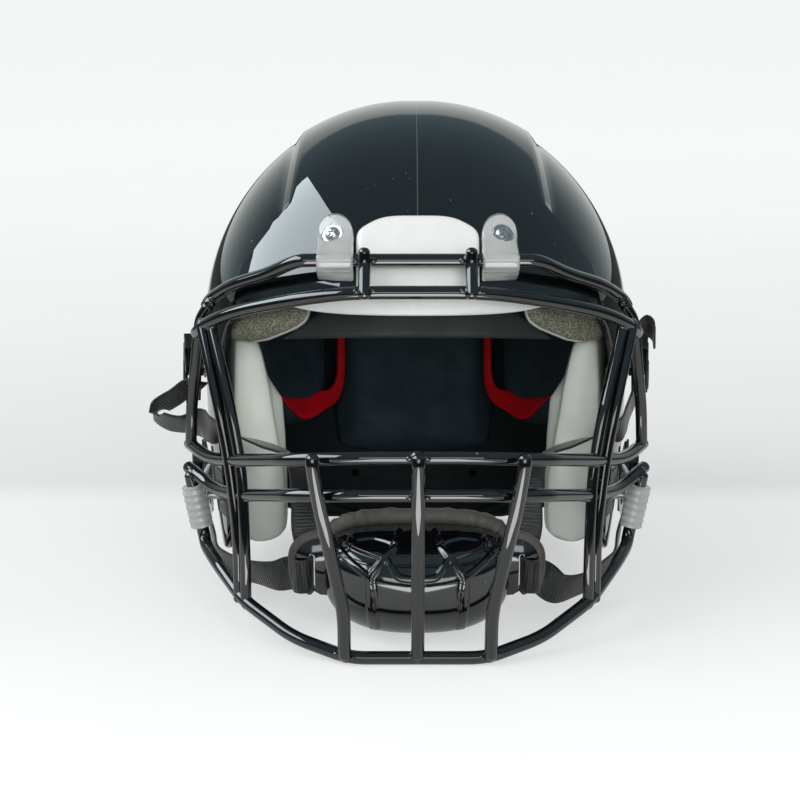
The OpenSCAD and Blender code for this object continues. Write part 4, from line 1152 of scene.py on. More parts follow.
@dataclass
class TopClips:
    """Clear saddles that hold the upper brow wire, and their screws."""

    dome: Dome = DOME
    middle: float = 40.5
    width: float = 18.0
    seat: float = PANEL_RISE + 0.4
    thick: float = 4.5
    wire_y: float = BROW_Y
    wire_z: float = BROW_Z
    saddle_r: float = WIRE_R + 0.08 + 2.8
    screw_z: float = 203.5

    @property
    def low(self) -> float:
        """Height of the clip's lower end."""
        return self.wire_z - self.saddle_r - 5

    @property
    def top(self) -> float:
        """Height of the clip's rounded top."""
        return self.screw_z + 11.5

    def ring(self, x: float, shrink: float) -> Array:
        """Closed outline of the clip in the plane of one x."""
        r = self.width / 2 - 0.2
        reach = min(1.0, abs(x - self.middle) / r)
        z_top = self.top - r + r * math.sqrt(max(0.0, 1 - reach ** 2)) - shrink
        low = self.low + shrink
        hull_r = self.saddle_r - shrink
        up = np.linspace(0, 1, 16)
        back_z = low + (z_top - low) * up
        back = self.dome.front(np.full(16, x), back_z, self.seat + shrink)
        face_z = z_top + (self.wire_z + 1.5 - z_top) * np.linspace(0, 1, 14)
        face = self.dome.front(np.full(14, x), face_z, self.seat + self.thick - shrink)
        dip = smooth(0, 1, np.linspace(0, 1, 14)) ** 2.6
        meet = self.wire_y - hull_r * 0.86
        face[:, 1] = face[:, 1] * (1 - dip) + meet * dip
        a = np.radians(np.linspace(32, -72, 12))
        nose = np.stack([np.full(12, x), self.wire_y - hull_r * np.cos(a), self.wire_z + hull_r * np.sin(a)], -1)
        foot_y = np.linspace(nose[-1, 1] + 1.5, back[0, 1] - 0.6, 6)
        foot = np.stack([np.full(6, x), foot_y, np.linspace(nose[-1, 2] - 1.2, low, 6)], -1)
        face = face[:-2]
        return np.vstack([back, face, nose, foot])

    def build(self, side: Side) -> Piece:
        """Builds the clip of one side."""
        form = Form()
        half = self.width / 2
        bevel = 1.5
        turn = np.radians([0, 25, 50, 75, 90])
        stations = [(-half + bevel * (1 - math.cos(t)), bevel * (1 - math.sin(t))) for t in turn]
        middle = [(v, 0.0) for v in np.linspace(-half + bevel, half - bevel, 15)[1:-1]]
        stations = stations + middle + [(-v, s) for v, s in stations[::-1]]
        form.skin(np.array([self.ring(self.middle + v, s) for v, s in stations]))
        for pts in form.points:
            pts *= side.flip
        obj = form.build(f"top_clip_{side.word}_saddle", sharp=50)
        at, out = self.screw_at(side)
        tool = peg(5.6, 20, 64)
        pointed(tool, out, at + out * (self.seat - PANEL_RISE + self.thick - 0.4 + 10))
        carved(obj, tool)
        bevelled(obj, 0.35, 2, 50)
        shade(obj, 42)
        return obj

    def screw_at(self, side: Side) -> tuple[Array, Array]:
        """Screw's place on the raised panel, and its direction."""
        at = self.dome.front(self.middle, self.screw_z, PANEL_RISE)
        out = self.dome.normal(at)
        return at * side.flip, out * side.flip

    def dress(self, clips: list[Piece]) -> None:
        """Finishes the clips and adds their screws."""
        for obj, side in zip(clips, Side):
            dress(obj, CLIP_CLEAR, "clear_clip", f"top_clip_{side.word}")
        screws = []
        for side in Side:
            at, out = self.screw_at(side)
            screws.append(Screw(shank=12.0).build(f"screw_{side.word}", at + out * (self.thick + 0.3), out,
                                                  0.5 * side.value))
        dress(joined("top_clip_screw_pair", screws), STEEL, "steel", "top_clip_screws")


# ---- padding ----


@dataclass
class Cushion:
    """Padded cushion between the shell and the head."""

    name: str
    node: str
    finish: Finish
    slot: str
    spot: Place
    off: float
    thick: float
    edge: float = 0.3
    corner: float = 0.3
    border: float = 0.16
    size: tuple[int, int] = (40, 40)
    power: float = 4.0
    fill: float = 0.7

    def place(self, s: Array, t: Array, off: Array) -> Array:
        """Point of the cushion, whose corners are rounded."""
        u = s * np.sqrt(1 - self.corner * t ** 2 / 2 * np.abs(t) ** 2)
        v = t * np.sqrt(1 - self.corner * s ** 2 / 2 * np.abs(s) ** 2)
        return self.spot((u + 1) / 2, (v + 1) / 2, off)

    def build(self) -> Piece:
        """Builds the crowned closed form."""
        s, t = (edge_lines(n, self.border, 5) for n in self.size)
        S, T = np.meshgrid(s, t)
        q = roundness(S, T, (self.border, self.border))
        crown = np.sqrt((1 - np.abs(S) ** self.power) * (1 - np.abs(T) ** self.power))
        full = self.thick * (self.edge + (1 - self.edge) * crown)
        mid = self.thick * self.edge * 0.5
        form = Form()
        form.quads(form.add(self.place(S, T, self.off - mid - (full - mid) * q)))
        form.quads(form.add(self.place(S, T, self.off - mid * (1 - q))), flip=True)
        return form.build(self.name, sharp=70)

    def dress(self, obj: Piece) -> None:
        dress(obj, self.finish, self.slot, self.node)

    def rim(self, share: float, off: float, n: int = 160) -> Array:
        """Closed path along the cushion's border."""
        a = np.linspace(0, 1, n) * 2 * math.pi
        c, d = np.cos(a), np.sin(a)
        m = np.maximum(np.abs(c), np.abs(d))
        return self.place(share * c / m, share * d / m, np.full(n, off))


def patch(az0: float, az1: float, e0: float, e1: float) -> Place:
    """Place function of a patch of the dome between two azimuths and two heights."""
    return lambda s, t, off: DOME.at(az1 + (az0 - az1) * s, e0 + (e1 - e0) * t, off)


@dataclass
class Padding:
    """All cushions inside the shell, the red bands and the piping."""

    wall: float = 4.0
    gap: float = 0.8
    liner: float = 26.0
    jaw_off: float = -10.6

    def jaw_spot(self, side: Side) -> Place:
        """Place function of a jaw pad: thin at its top, with a facet on its lower inner edge."""
        def spot(s: Array, t: Array, off: Array) -> Array:
            z = 30 + 116 * t
            front = -52 + 0.05 * np.abs(z - 118) - 0.08 * np.maximum(0, 118 - z)
            y = front + (50 - 8 * t) * s
            face = np.interp(z, [30, 67, 88, 117, 147], [25.0, 27.0, 24.0, 19.0, 12.0])
            back = np.interp(z, [30, 67, 88, 108, 120, 147], [29.0, 30.5, 30.5, 29.0, 21.0, 14.0])
            deep = (face + (back - face) * smooth(0.10, 0.34, s)) / 30
            off = self.jaw_off - (self.jaw_off - off) * deep
            return np.stack([side.value * DOME.side_x(y, z, off), y, z], -1)
        return spot

    def temple_spot(self, side: Side) -> Place:
        """Place function of a temple pad, whose lower edge bows down and rises to the brow."""
        def spot(s: Array, t: Array, off: Array) -> Array:
            az = 72 - 46 * s
            low = np.interp(az, [24, 31, 42, 50, 61, 72], [-1.0, -7.0, -11.5, -12.5, -10.0, -4.0])
            return DOME.at(side.value * az, low + (32 - low) * t, off)
        return spot

    def brow_spot(self, s: Array, t: Array, off: Array) -> Array:
        """Point of the brow pad, which widens below the temple pads."""
        e = -12 + 50 * t
        return DOME.at(np.interp(e, [-12, 1, 38], [38.5, 25.0, 25.0]) * (1 - 2 * s), e, off)

    def cushions(self) -> list[Cushion]:
        """The cushions with their sizes and finishes."""
        inner = -self.wall - self.gap
        rows = [Cushion("brow_cushion", "front_pad", BROW_VINYL, "brow_vinyl", self.brow_spot, -8.9,
                        18, corner=0.05, border=0.12, size=(60, 40)),
                Cushion("rear_cushion", "rear_liner", LINER, "navy_liner", patch(156, 204, -72, 46), inner,
                        self.liner - 2),
                Cushion("crown_cushion", "crown_liner", LINER, "navy_liner", patch(-179, 179, 52, 88), inner,
                        self.liner)]
        for side in Side:
            k, w = side.value, side.word
            rows.append(Cushion(f"temple_cushion_{w}", f"temple_pad_{w}", MESH_CLOTH, "mesh_pad",
                                self.temple_spot(side), inner, 16, corner=0.35, border=0.3))
            az = (101, 150) if k > 0 else (-150, -101)
            rows.append(Cushion(f"side_cushion_{w}", f"side_liner_{w}", LINER, "navy_liner",
                                patch(*az, -56, 46), inner, self.liner))
            rows.append(Cushion(f"jaw_cushion_{w}", f"jaw_pad_{w}", JAW_VINYL, "jaw_vinyl", self.jaw_spot(side),
                                self.jaw_off, 28, edge=0.72, corner=0.16, border=0.10, power=8.0, size=(36, 44)))
        return rows

    def crown(self) -> Piece:
        """Builds the crown cushion as one round pad."""
        inner = -self.wall - self.gap
        a = np.linspace(0, 360, 72, endpoint=False)
        face = [(50.0, 0.0), (50.6, 0.22), (52.0, 0.45), (55, 0.72), (60, 0.9), (66, 1.0), (74, 1.0), (82, 1.0),
                (88, 1.0)]
        form = Form()
        front = form.add(np.array([DOME.at(a, e, inner - self.liner * d) for e, d in face]))
        back = form.add(np.array([DOME.at(a, e, inner) for e in (50.0, 53, 60, 70, 80, 88)]))
        form.quads(front, wrap=True)
        form.quads(back, wrap=True, flip=True)
        form.cap(front[-1])
        form.cap(back[-1])
        return form.build("crown_cushion", sharp=60)

    def band(self, side: Side) -> Piece:
        """Builds the red band along a side cushion's inner and lower edge, a ribbon that widens below."""
        k, off = side.value, -self.wall - self.gap - self.liner
        knots = np.array([(153.0, 18, 4.8), (153, -10, 4.8), (152.5, -28, 5.4), (149, -38, 9.0), (142, -42, 13.0),
                          (134, -45, 16.0), (127, -43, 9.0), (120, -40.5, 3.5), (116, -39.5, 1.6)])
        az, e, wide = spline(knots, 1.4).T
        path = DOME.at(k * az, e, off + 4.0)
        form = Form()
        c, d = circle(24).T
        rows = np.stack([np.tile(2.0 * spow(c, 0.5), (len(path), 1)), wide[:, None] * 0.5 * spow(d, 0.7)], -1)
        sweep(form, path, rows, DOME.normal(path))
        return form.build(f"red_band_{side.word}", sharp=60)

    def piping(self, pad: Cushion) -> Piece:
        """Builds the piping round a cushion's border."""
        form = Form()
        tube(form, pad.rim(0.985, pad.off - pad.thick * pad.edge * 0.5 - 1.2), 1.15, 14, domed=False)
        return form.build(f"{pad.name}_piping", sharp=60)

    def build(self) -> None:
        """Builds and finishes every cushion and band."""
        for pad in self.cushions():
            obj = self.crown() if pad.node == "crown_liner" else pad.build()
            pad.dress(obj)
            if pad.finish is MESH_CLOTH:
                dress(self.piping(pad), PIPING, "mesh_pad")
            LOG.info("cushion %s", pad.name)
        for side in Side:
            dress(self.band(side), RED_BAND, "red_band", f"red_trim_{side.word}")


# ---- chin cup and straps ----


@dataclass
class ChinCup:
    """Ribbed hard cup with wings, and the padded cup inside it."""

    width: float = 96.0
    height: float = 57.0
    rim_up: float = 25.5
    deep: float = 41.0
    wall: float = 3.0
    pad: float = 7.0
    edge_y: float = -94.0
    reach: float = 66.0
    roll_r: float = 4.6
    ribs: tuple[tuple[tuple[float, float, float], ...], ...] = (
        ((7.5, 58, 1.0), (9.3, 53.8, 1.0), (16.2, 47.5, 1.1), (24, 38.7, 1.2), (23.4, 28, 1.9), (21.6, 10, 2.4)),
        ((-9.5, 38.8, 1.2), (0, 38.0, 1.2), (9.5, 38.8, 1.2), (16.2, 47.5, 1.1), (34, 51, 1.0)),
        ((44, 50.5, 1.0), (24, 38.7, 1.3)))

    @property
    def mid_z(self) -> float:
        """Height of the cup's middle."""
        return 1 + self.height / 2

    def shape(self, t: Array, turn: Array, grow: Array) -> Array:
        """Point of the bowl from its edge, t = 0, to its front, t = 1; its upper rim is flatter."""
        f = np.maximum(0.0, 1 - np.maximum(t, 0) ** 2.6) ** 0.42
        c, s = np.cos(turn), np.sin(turn)
        up = np.where(s > 0, spow(s, 0.45) * (self.rim_up + grow), spow(s, 0.8) * (self.height / 2 + grow))
        wide = np.where(s > 0, spow(c, 0.6), spow(c, 0.8)) * (self.width / 2 + grow)
        return np.stack([wide * f, self.edge_y - (self.deep + grow) * t, self.mid_z + up * f], -1)

    def rows(self, count: int) -> Array:
        """Depths of the bowl's rows, evenly spaced over its surface."""
        t = np.linspace(0, 1, 4001)
        rim = self.shape(t, np.full(t.shape, -0.6), np.zeros(t.shape))
        run = run_of(rim)
        return np.interp(np.linspace(0, 0.995, count) * run[-1], run, t)

    def relief(self, p: Array) -> Array:
        """Height of the crossing ribs, less the depth of the two pointed recesses."""
        x, z = np.abs(p[..., 0]), p[..., 2]
        away = np.full(x.shape, 99.0)
        for rib in self.ribs:
            line = rounded(rib, 3.0, 5)
            for (x0, z0, w0), (x1, z1, w1) in zip(line, line[1:]):
                ex, ez = x1 - x0, z1 - z0
                share = np.clip(((x - x0) * ex + (z - z0) * ez) / (ex * ex + ez * ez), 0, 1)
                gap = np.hypot(x - x0 - ex * share, z - z0 - ez * share) - (w0 + (w1 - w0) * share)
                away = np.minimum(away, gap)
        u, v = np.abs(x - 22.5) / 11.5, np.abs(z - 51.2 + 0.02 * (x - 22.5)) / 2.1
        lens = 1 - smooth(0.75, 1.15, u ** 1.6 + v ** 1.6)
        fade = smooth(5.0, 11.0, z) * smooth(self.edge_y - 3, self.edge_y - 9, p[..., 1])
        return (1.5 * (1 - smooth(-0.35, 0.75, away)) - 1.3 * lens) * fade

    def build(self) -> tuple[Piece, Piece]:
        """Builds the cup and its liner."""
        turn = np.linspace(0, 2 * math.pi, 336, endpoint=False)
        T, A = np.meshgrid(self.rows(132), turn, indexing="ij")
        base = self.shape(T, A, np.zeros_like(T))
        along = np.gradient(base, axis=0)
        round_ = np.roll(base, -1, 1) - np.roll(base, 1, 1)
        out = unit(np.cross(along, round_))
        out *= np.sign((out * (base - [0, self.edge_y, self.mid_z])).sum(-1, keepdims=True))
        outer = base + out * self.relief(base)[..., None]
        inner = self.shape(T[::4], A[::4], np.full_like(T[::4], -self.wall))
        form = Form()
        self.bowl(form, outer, inner, 1.4)
        cup = form.build("cup_moulding", sharp=50)
        return joined("cup_moulding", [cup, *(self.wing(side) for side in Side)]), self.liner()

    def bowl(self, form: Form, outer: Array, inner: Array, lip: float) -> None:
        """Adds both faces of a bowl and the rolled edge that stands a lip's height over them."""
        out_ids, in_ids = form.add(outer), form.add(inner)
        form.quads(out_ids, wrap=True)
        form.quads(in_ids, wrap=True, flip=True)
        form.cap(out_ids[-1], flip=True)
        form.cap(in_ids[-1])
        mid, arm = (outer[0] + inner[0]) / 2, (outer[0] - inner[0]) / 2
        rows = [mid + arm * math.cos(k) + np.array([0, lip, 0]) * math.sin(k)
                for k in np.radians([30, 60, 90, 120, 150])]
        form.quads(np.vstack([out_ids[:1], form.add(np.array(rows)), in_ids[:1]]), wrap=True, flip=True)

    def wing_loop(self, inset: float) -> Array:
        """Outline of a wing in x and z, drawn in by an inset."""
        r = self.reach - inset
        corners = [(34, 12 + inset), (50, 14 + inset), (r - 6, 18 + inset), (r, 25 + inset / 2),
                   (r, 42 - inset / 2), (r - 6, 49 - inset), (50, 51 - inset), (34, 50 - inset)]
        loop = rounded([(x, z, 0) for x, z in corners + corners[:2]], 5, 6)
        return loop[7:, :2]

    def wing(self, side: Side) -> Piece:
        """Builds one crowned wing with its strap slot."""
        loop = self.wing_loop(3.0)
        mid = loop.mean(0)
        form = Form()
        rings = [(0.985, 0.0), (1.0, -0.5), (1.0, -1.7)]
        rings += [(k, -2.2 - 3.0 * (1 - k ** 2)) for k in (0.985, 0.94, 0.86, 0.74, 0.6, 0.45, 0.3, 0.15)]
        rows = [np.insert(mid + (loop - mid) * k, 1, self.edge_y + y, axis=1) * side.flip for k, y in rings]
        form.skin(np.array(rows))
        obj = form.build(f"wing_{side.word}", sharp=60)
        tool = box((2.6, 40, 20), packed((side.value * (self.reach - 12), self.edge_y, 29.5)))
        bevelled(tool, 1.0, 3)
        carved(obj, tool)
        bevelled(obj, 0.3, 2, 60)
        shade(obj, 40)
        return obj

    def liner(self) -> Piece:
        """Builds the padded cup, the roll over the cup's upper edge and the rolls behind the wings."""
        turn = np.linspace(0, 2 * math.pi, 96, endpoint=False)
        T, A = np.meshgrid(np.linspace(-0.08, 0.94, 26), turn, indexing="ij")
        outer = self.shape(T, A, np.full_like(T, -self.wall - 0.3))
        inner = self.shape(T, A, np.full_like(T, -self.wall - self.pad))
        form = Form()
        self.bowl(form, outer, inner, 2.6)
        a = np.radians(np.linspace(-6, 186, 121))
        swell = 1 + 0.05 * np.sin(a * 23) + 0.04 * np.sin(a * 41 + 1)
        roll = np.stack([(self.width / 2 - 1) * spow(np.cos(a), 0.6), self.edge_y + self.roll_r + 0.3 + 0 * a,
                         self.mid_z + (self.rim_up + 2.2) * spow(np.sin(a), 0.45)], -1)
        self.cord(form, roll, self.roll_r * swell)
        for side in Side:
            loop = self.wing_loop(2.2)
            edge = loop[loop[:, 0] > 47]
            path = np.stack([side.value * edge[:, 0], np.full(len(edge), self.edge_y + 1.0), edge[:, 1]], -1)
            path = spline(path, 1.5)
            self.cord(form, path, np.full(len(path), 3.0))
        return form.build("cup_cushion", sharp=60)

    def cord(self, form: Form, path: Array, radii: Array) -> None:
        """Adds one padded roll whose thickness varies along its path."""
        ends = np.minimum(1.0, np.sqrt(np.minimum(np.arange(len(path)), np.arange(len(path))[::-1]) / 3 + 0.05))
        ups = carried(headings(path), np.array([0.0, 1.0, 0.0]))
        sweep(form, path, (radii * ends)[:, None, None] * circle(20), ups)

    def dress(self, made: tuple[Piece, Piece]) -> None:
        """Finishes the cup and its liner."""
        dress(made[0], CUP_GLOSS, "cup_gloss", "chin_cup")
        dress(made[1], CUP_PAD, "cup_pad", "chin_cup_liner")


@dataclass
class Stud:
    """Snap stud on the shell, with the local frame of the buckle on it."""

    y: float
    z: float
    pull: tuple[float, float, float]
    side: Side
    dome: Dome = DOME

    def axes(self) -> tuple[Array, Array, Array, Array]:
        """Place, and the directions along the strap, across it and out of the shell."""
        at = np.array([float(self.dome.side_x(self.y, self.z, 0.0)), self.y, self.z])
        out = self.dome.normal(at)
        across = unit(np.cross(out, self.pull))
        along = np.cross(across, out)
        flip = self.side.flip
        return at * flip, along * flip, across * flip, out * flip

    def spot(self, x: float, y: float, z: float) -> Array:
        """Point of the buckle's local frame."""
        at, along, across, out = self.axes()
        return at + along * x + across * y + out * z


@dataclass
class Fastening:
    """Buckle and lever of one strap end."""

    name: str
    stud: Stud
    length: float = 32.0
    strap_w: float = 18.0
    strap_t: float = 1.3
    plate_z: float = 3.6

    @property
    def strap_z(self) -> float:
        """Height of the strap's middle over the shell."""
        return self.plate_z + 1.8 + self.strap_t / 2

    @property
    def pin(self) -> tuple[float, float]:
        """Place of the hinge pin along the strap and out of the shell."""
        return -self.length * 0.22, self.strap_z + self.strap_t / 2 + 0.3 + 2.6

    def block(self, lo: Sequence[float], hi: Sequence[float]) -> Piece:
        """Box between two corners of the local frame."""
        form = Form()
        grid = np.array([[self.stud.spot(x, y, z) for x, y in
                          ((lo[0], lo[1]), (hi[0], lo[1]), (hi[0], hi[1]), (lo[0], hi[1]))] for z in (lo[2], hi[2])])
        form.skin(grid)
        return form.build("block")

    def rod(self, r: float, half: float, x: float, z: float) -> Piece:
        """Round rod across the strap."""
        form = Form()
        path = np.array([self.stud.spot(x, y, z) for y in (-half, 0, half)])
        tube(form, path, r, 32, self.stud.axes()[3], domed=False)
        return form.build("rod")

    def disc(self, d: float, z0: float, z1: float, hole: float) -> Piece:
        """Round cap with a hole, whose axis points out of the shell."""
        form = Form()
        at, along, across, out = self.stud.axes()
        ring = circle(48) @ np.array([along, across])
        rows = [at + ring * r + out * z for r, z in
                ((hole / 2, z0), (d / 2 - 0.3, z0), (d / 2, z0 + 0.3), (d / 2, z1 - 0.3),
                 (d / 2 - 0.3, z1), (hole / 2, z1))]
        ids = form.add(np.array(rows))
        form.quads(ids, wrap=True)
        form.quads(np.vstack([ids[-1:], ids[:1]]), wrap=True)
        return form.build("disc")

    def buckle(self) -> Piece:
        """Builds the frame with its snap cap, ears and pin."""
        w, (px, pz) = (self.strap_w + 6) / 2, self.pin
        rail = w - self.strap_w / 2 - 0.5
        parts = [self.block((-self.length / 2, -w, self.plate_z), (self.length / 2, w, self.plate_z + 1.6)),
                 self.disc(13.0, 1.7, self.plate_z + 0.1, 9.8), self.rod(1.2, w - 0.2, px, pz)]
        for s in (-1, 1):
            y = sorted((s * w, s * (w - rail)))
            parts.append(self.block((px - 5, y[0], self.plate_z + 1.2), (px + 5, y[1], pz + 2.2)))
            parts.append(self.block((self.length / 2 - 5, y[0], self.plate_z + 1.2),
                                    (self.length / 2, y[1], self.strap_z + 2.4)))
        for p in (parts[0], *parts[3:]):
            bevelled(p, 0.5, 3)
        obj = joined(f"{self.name}_buckle_{self.stud.side.word}_frame", parts)
        shade(obj, 40)
        return obj

    def lever(self) -> Piece:
        """Builds the lever that clamps the strap, with grip ribs on its end."""
        px, pz = self.pin
        long, w = self.length * 0.62, self.strap_w / 2
        parts = [self.rod(2.6, w, px, pz), self.block((px, -w, pz + 1.0), (px + long, w, pz + 2.6))]
        for k in range(4):
            parts.append(self.rod(0.55, w - 1.5, px + long - 2.2 - 2.2 * k, pz + 2.6))
        bevelled(parts[1], 0.5, 3)
        obj = joined(f"{self.name}_lever_{self.stud.side.word}_arm", parts)
        shade(obj, 40)
        return obj

    def dress(self) -> None:
        """Builds and finishes the buckle and its lever."""
        w = self.stud.side.word
        dress(self.buckle(), BUCKLE, "buckle_plastic", f"{self.name}_buckle_{w}")
        dress(self.lever(), BUCKLE, "buckle_plastic", f"{self.name}_lever_{w}", body=f"{self.name}_lever_{w}")


@dataclass
class Straps:
    """Webbing from the buckles over the jaw flaps to the wings of the cup."""

    width: float = 18.0
    thick: float = 1.3
    cup: ChinCup = field(default_factory=ChinCup)

    @property
    def wing(self) -> tuple[float, float]:
        """Place of a wing's outer edge, across the helmet and along it."""
        return self.cup.width / 2 + 18, self.cup.edge_y + 1.2

    def stud(self, upper: bool, side: Side) -> Stud:
        """Stud of an upper or a lower strap."""
        return Stud(-24, 124, (0, -0.80, -0.60), side) if upper else Stud(-6, 56, (0, -0.81, -0.585), side)

    def band(self, name: str, path: Array, wides: Array) -> Piece:
        """Builds flat webbing through points with a width direction at each."""
        both = spline(np.hstack([path, wides]), 1.6)
        path, wides = both[:, :3], unit(both[:, 3:])
        dirs = headings(path)
        wides = unit(wides - (wides * dirs).sum(-1, keepdims=True) * dirs)
        ups = np.cross(wides, dirs)
        w, t = self.width / 2, self.thick / 2
        a = np.radians([-90, -45, 0, 45, 90])
        right = np.stack([t * np.sin(a), w - t + t * np.cos(a)], -1)
        top = np.stack([np.full(5, t), np.linspace(w - t, -(w - t), 7)[1:-1]], -1)
        section = np.vstack([right, top, right[::-1] * [1, -1], top[::-1] * [-1, 1]])
        form = Form()
        sweep(form, path, np.broadcast_to(section, (len(path), *section.shape)).copy(), ups)
        return form.build(name, sharp=60)

    def upper(self, side: Side) -> tuple[Array, Array]:
        """Route and width directions of an upper strap."""
        fast = Fastening("upper", self.stud(True, Side.RIGHT))
        at, along, across, out = fast.stud.axes()
        wing, wy = self.wing
        stops = [-18, -4, 6, 17, 20]
        path = [at + along * x + out * fast.strap_z for x in stops]
        wides = [across] * len(stops)
        if side is Side.LEFT:
            path += [(121.5, -41, 115), (129.5, -41, 109.5), (138, -41, 104), (139.5, -41, 100), (133, -41, 95.5),
                     (124, -42, 94.5), (116.5, -46, 95.5), (111.8, -57.5, 98)]
            wides += [(0, 0.72, -0.7)] * 6 + [(0, 0.45, -0.9), (0, 0.3, -1)]
        else:
            tail = [at + along * x + out * z for x, z in ((-19, 15), (-25, 14), (-28, 10.5), (-24, 7), (-20, 6))]
            path, wides = tail + path, [across] * 5 + wides
            path += [(114, -48, 106), (110.5, -60, 102)]
            wides += [(0, 0.5, -1), (0, 0.3, -1)]
        path += [(106, -70.5, 99), (95, -72, 96), (81, -72, 91.5), (68.5, -74, 87), (61, -78, 78), (57, -85, 66)]
        wides += [(0, 0.6, -1), (0, 1, -0.4), (0, 1, -0.12), (-0.05, 1, -0.12), (-0.3, 1, 0.3), (-0.8, 0.6, 0.2)]
        path += [(wing - 10, wy + 2, 52), (wing - 12, wy + 1.5, 42)]
        wides += [(-1, 0.1, 0.1), (-1, 0, 0)]
        return self.flipped(path, wides, side)

    def lower(self, side: Side) -> tuple[Array, Array]:
        """Route and width directions of a lower strap."""
        fast = Fastening("lower", self.stud(False, Side.RIGHT))
        at, along, across, out = fast.stud.axes()
        wing, wy = self.wing
        path = [at + along * x + out * fast.strap_z for x in (-20, -4, 6, 19)]
        wides = [across] * 4
        low = 0.0 if side is Side.LEFT else 7.0
        path += [(float(DOME.side_x(-38.0, 27.0, 4.5)), -38, 27), (107, -55, 23.5 - low / 3),
                 (100, -68, 24 - low / 2), (86, -80, 24 - low), (74, -88, 24.5 - low),
                 (wing - 0.5, wy + 1, 27.5 - low / 3), (wing - 3.4, wy - 6.2, 28), (wing - 7.5, wy - 8.6, 28.5),
                 (wing - 11, wy - 6.5, 29), (wing - 12, wy - 2, 29), (wing - 8, wy + 1.6, 29)]
        wides += [(0, 0.4, -1), (0, 0.3, -1), (0, 0.5, -1), (0, 0.7, -1), (0, 0.3, -1)] + [(0, 0, -1)] * 6
        return self.flipped(path, wides, side)

    def flipped(self, path: list, wides: list, side: Side) -> tuple[Array, Array]:
        """Route on the wanted side."""
        return np.array(path, float) * side.flip, unit(np.array(wides, float)) * side.flip

    def build(self) -> None:
        """Builds and finishes all straps, buckles and levers."""
        for side in Side:
            for name, route in (("upper", self.upper), ("lower", self.lower)):
                obj = self.band(f"{name}_webbing_{side.word}", *route(side))
                dress(obj, WEBBING, "webbing", f"{name}_strap_{side.word}")
                Fastening(name, self.stud(name == "upper", side)).dress()


# ---- face guard ----


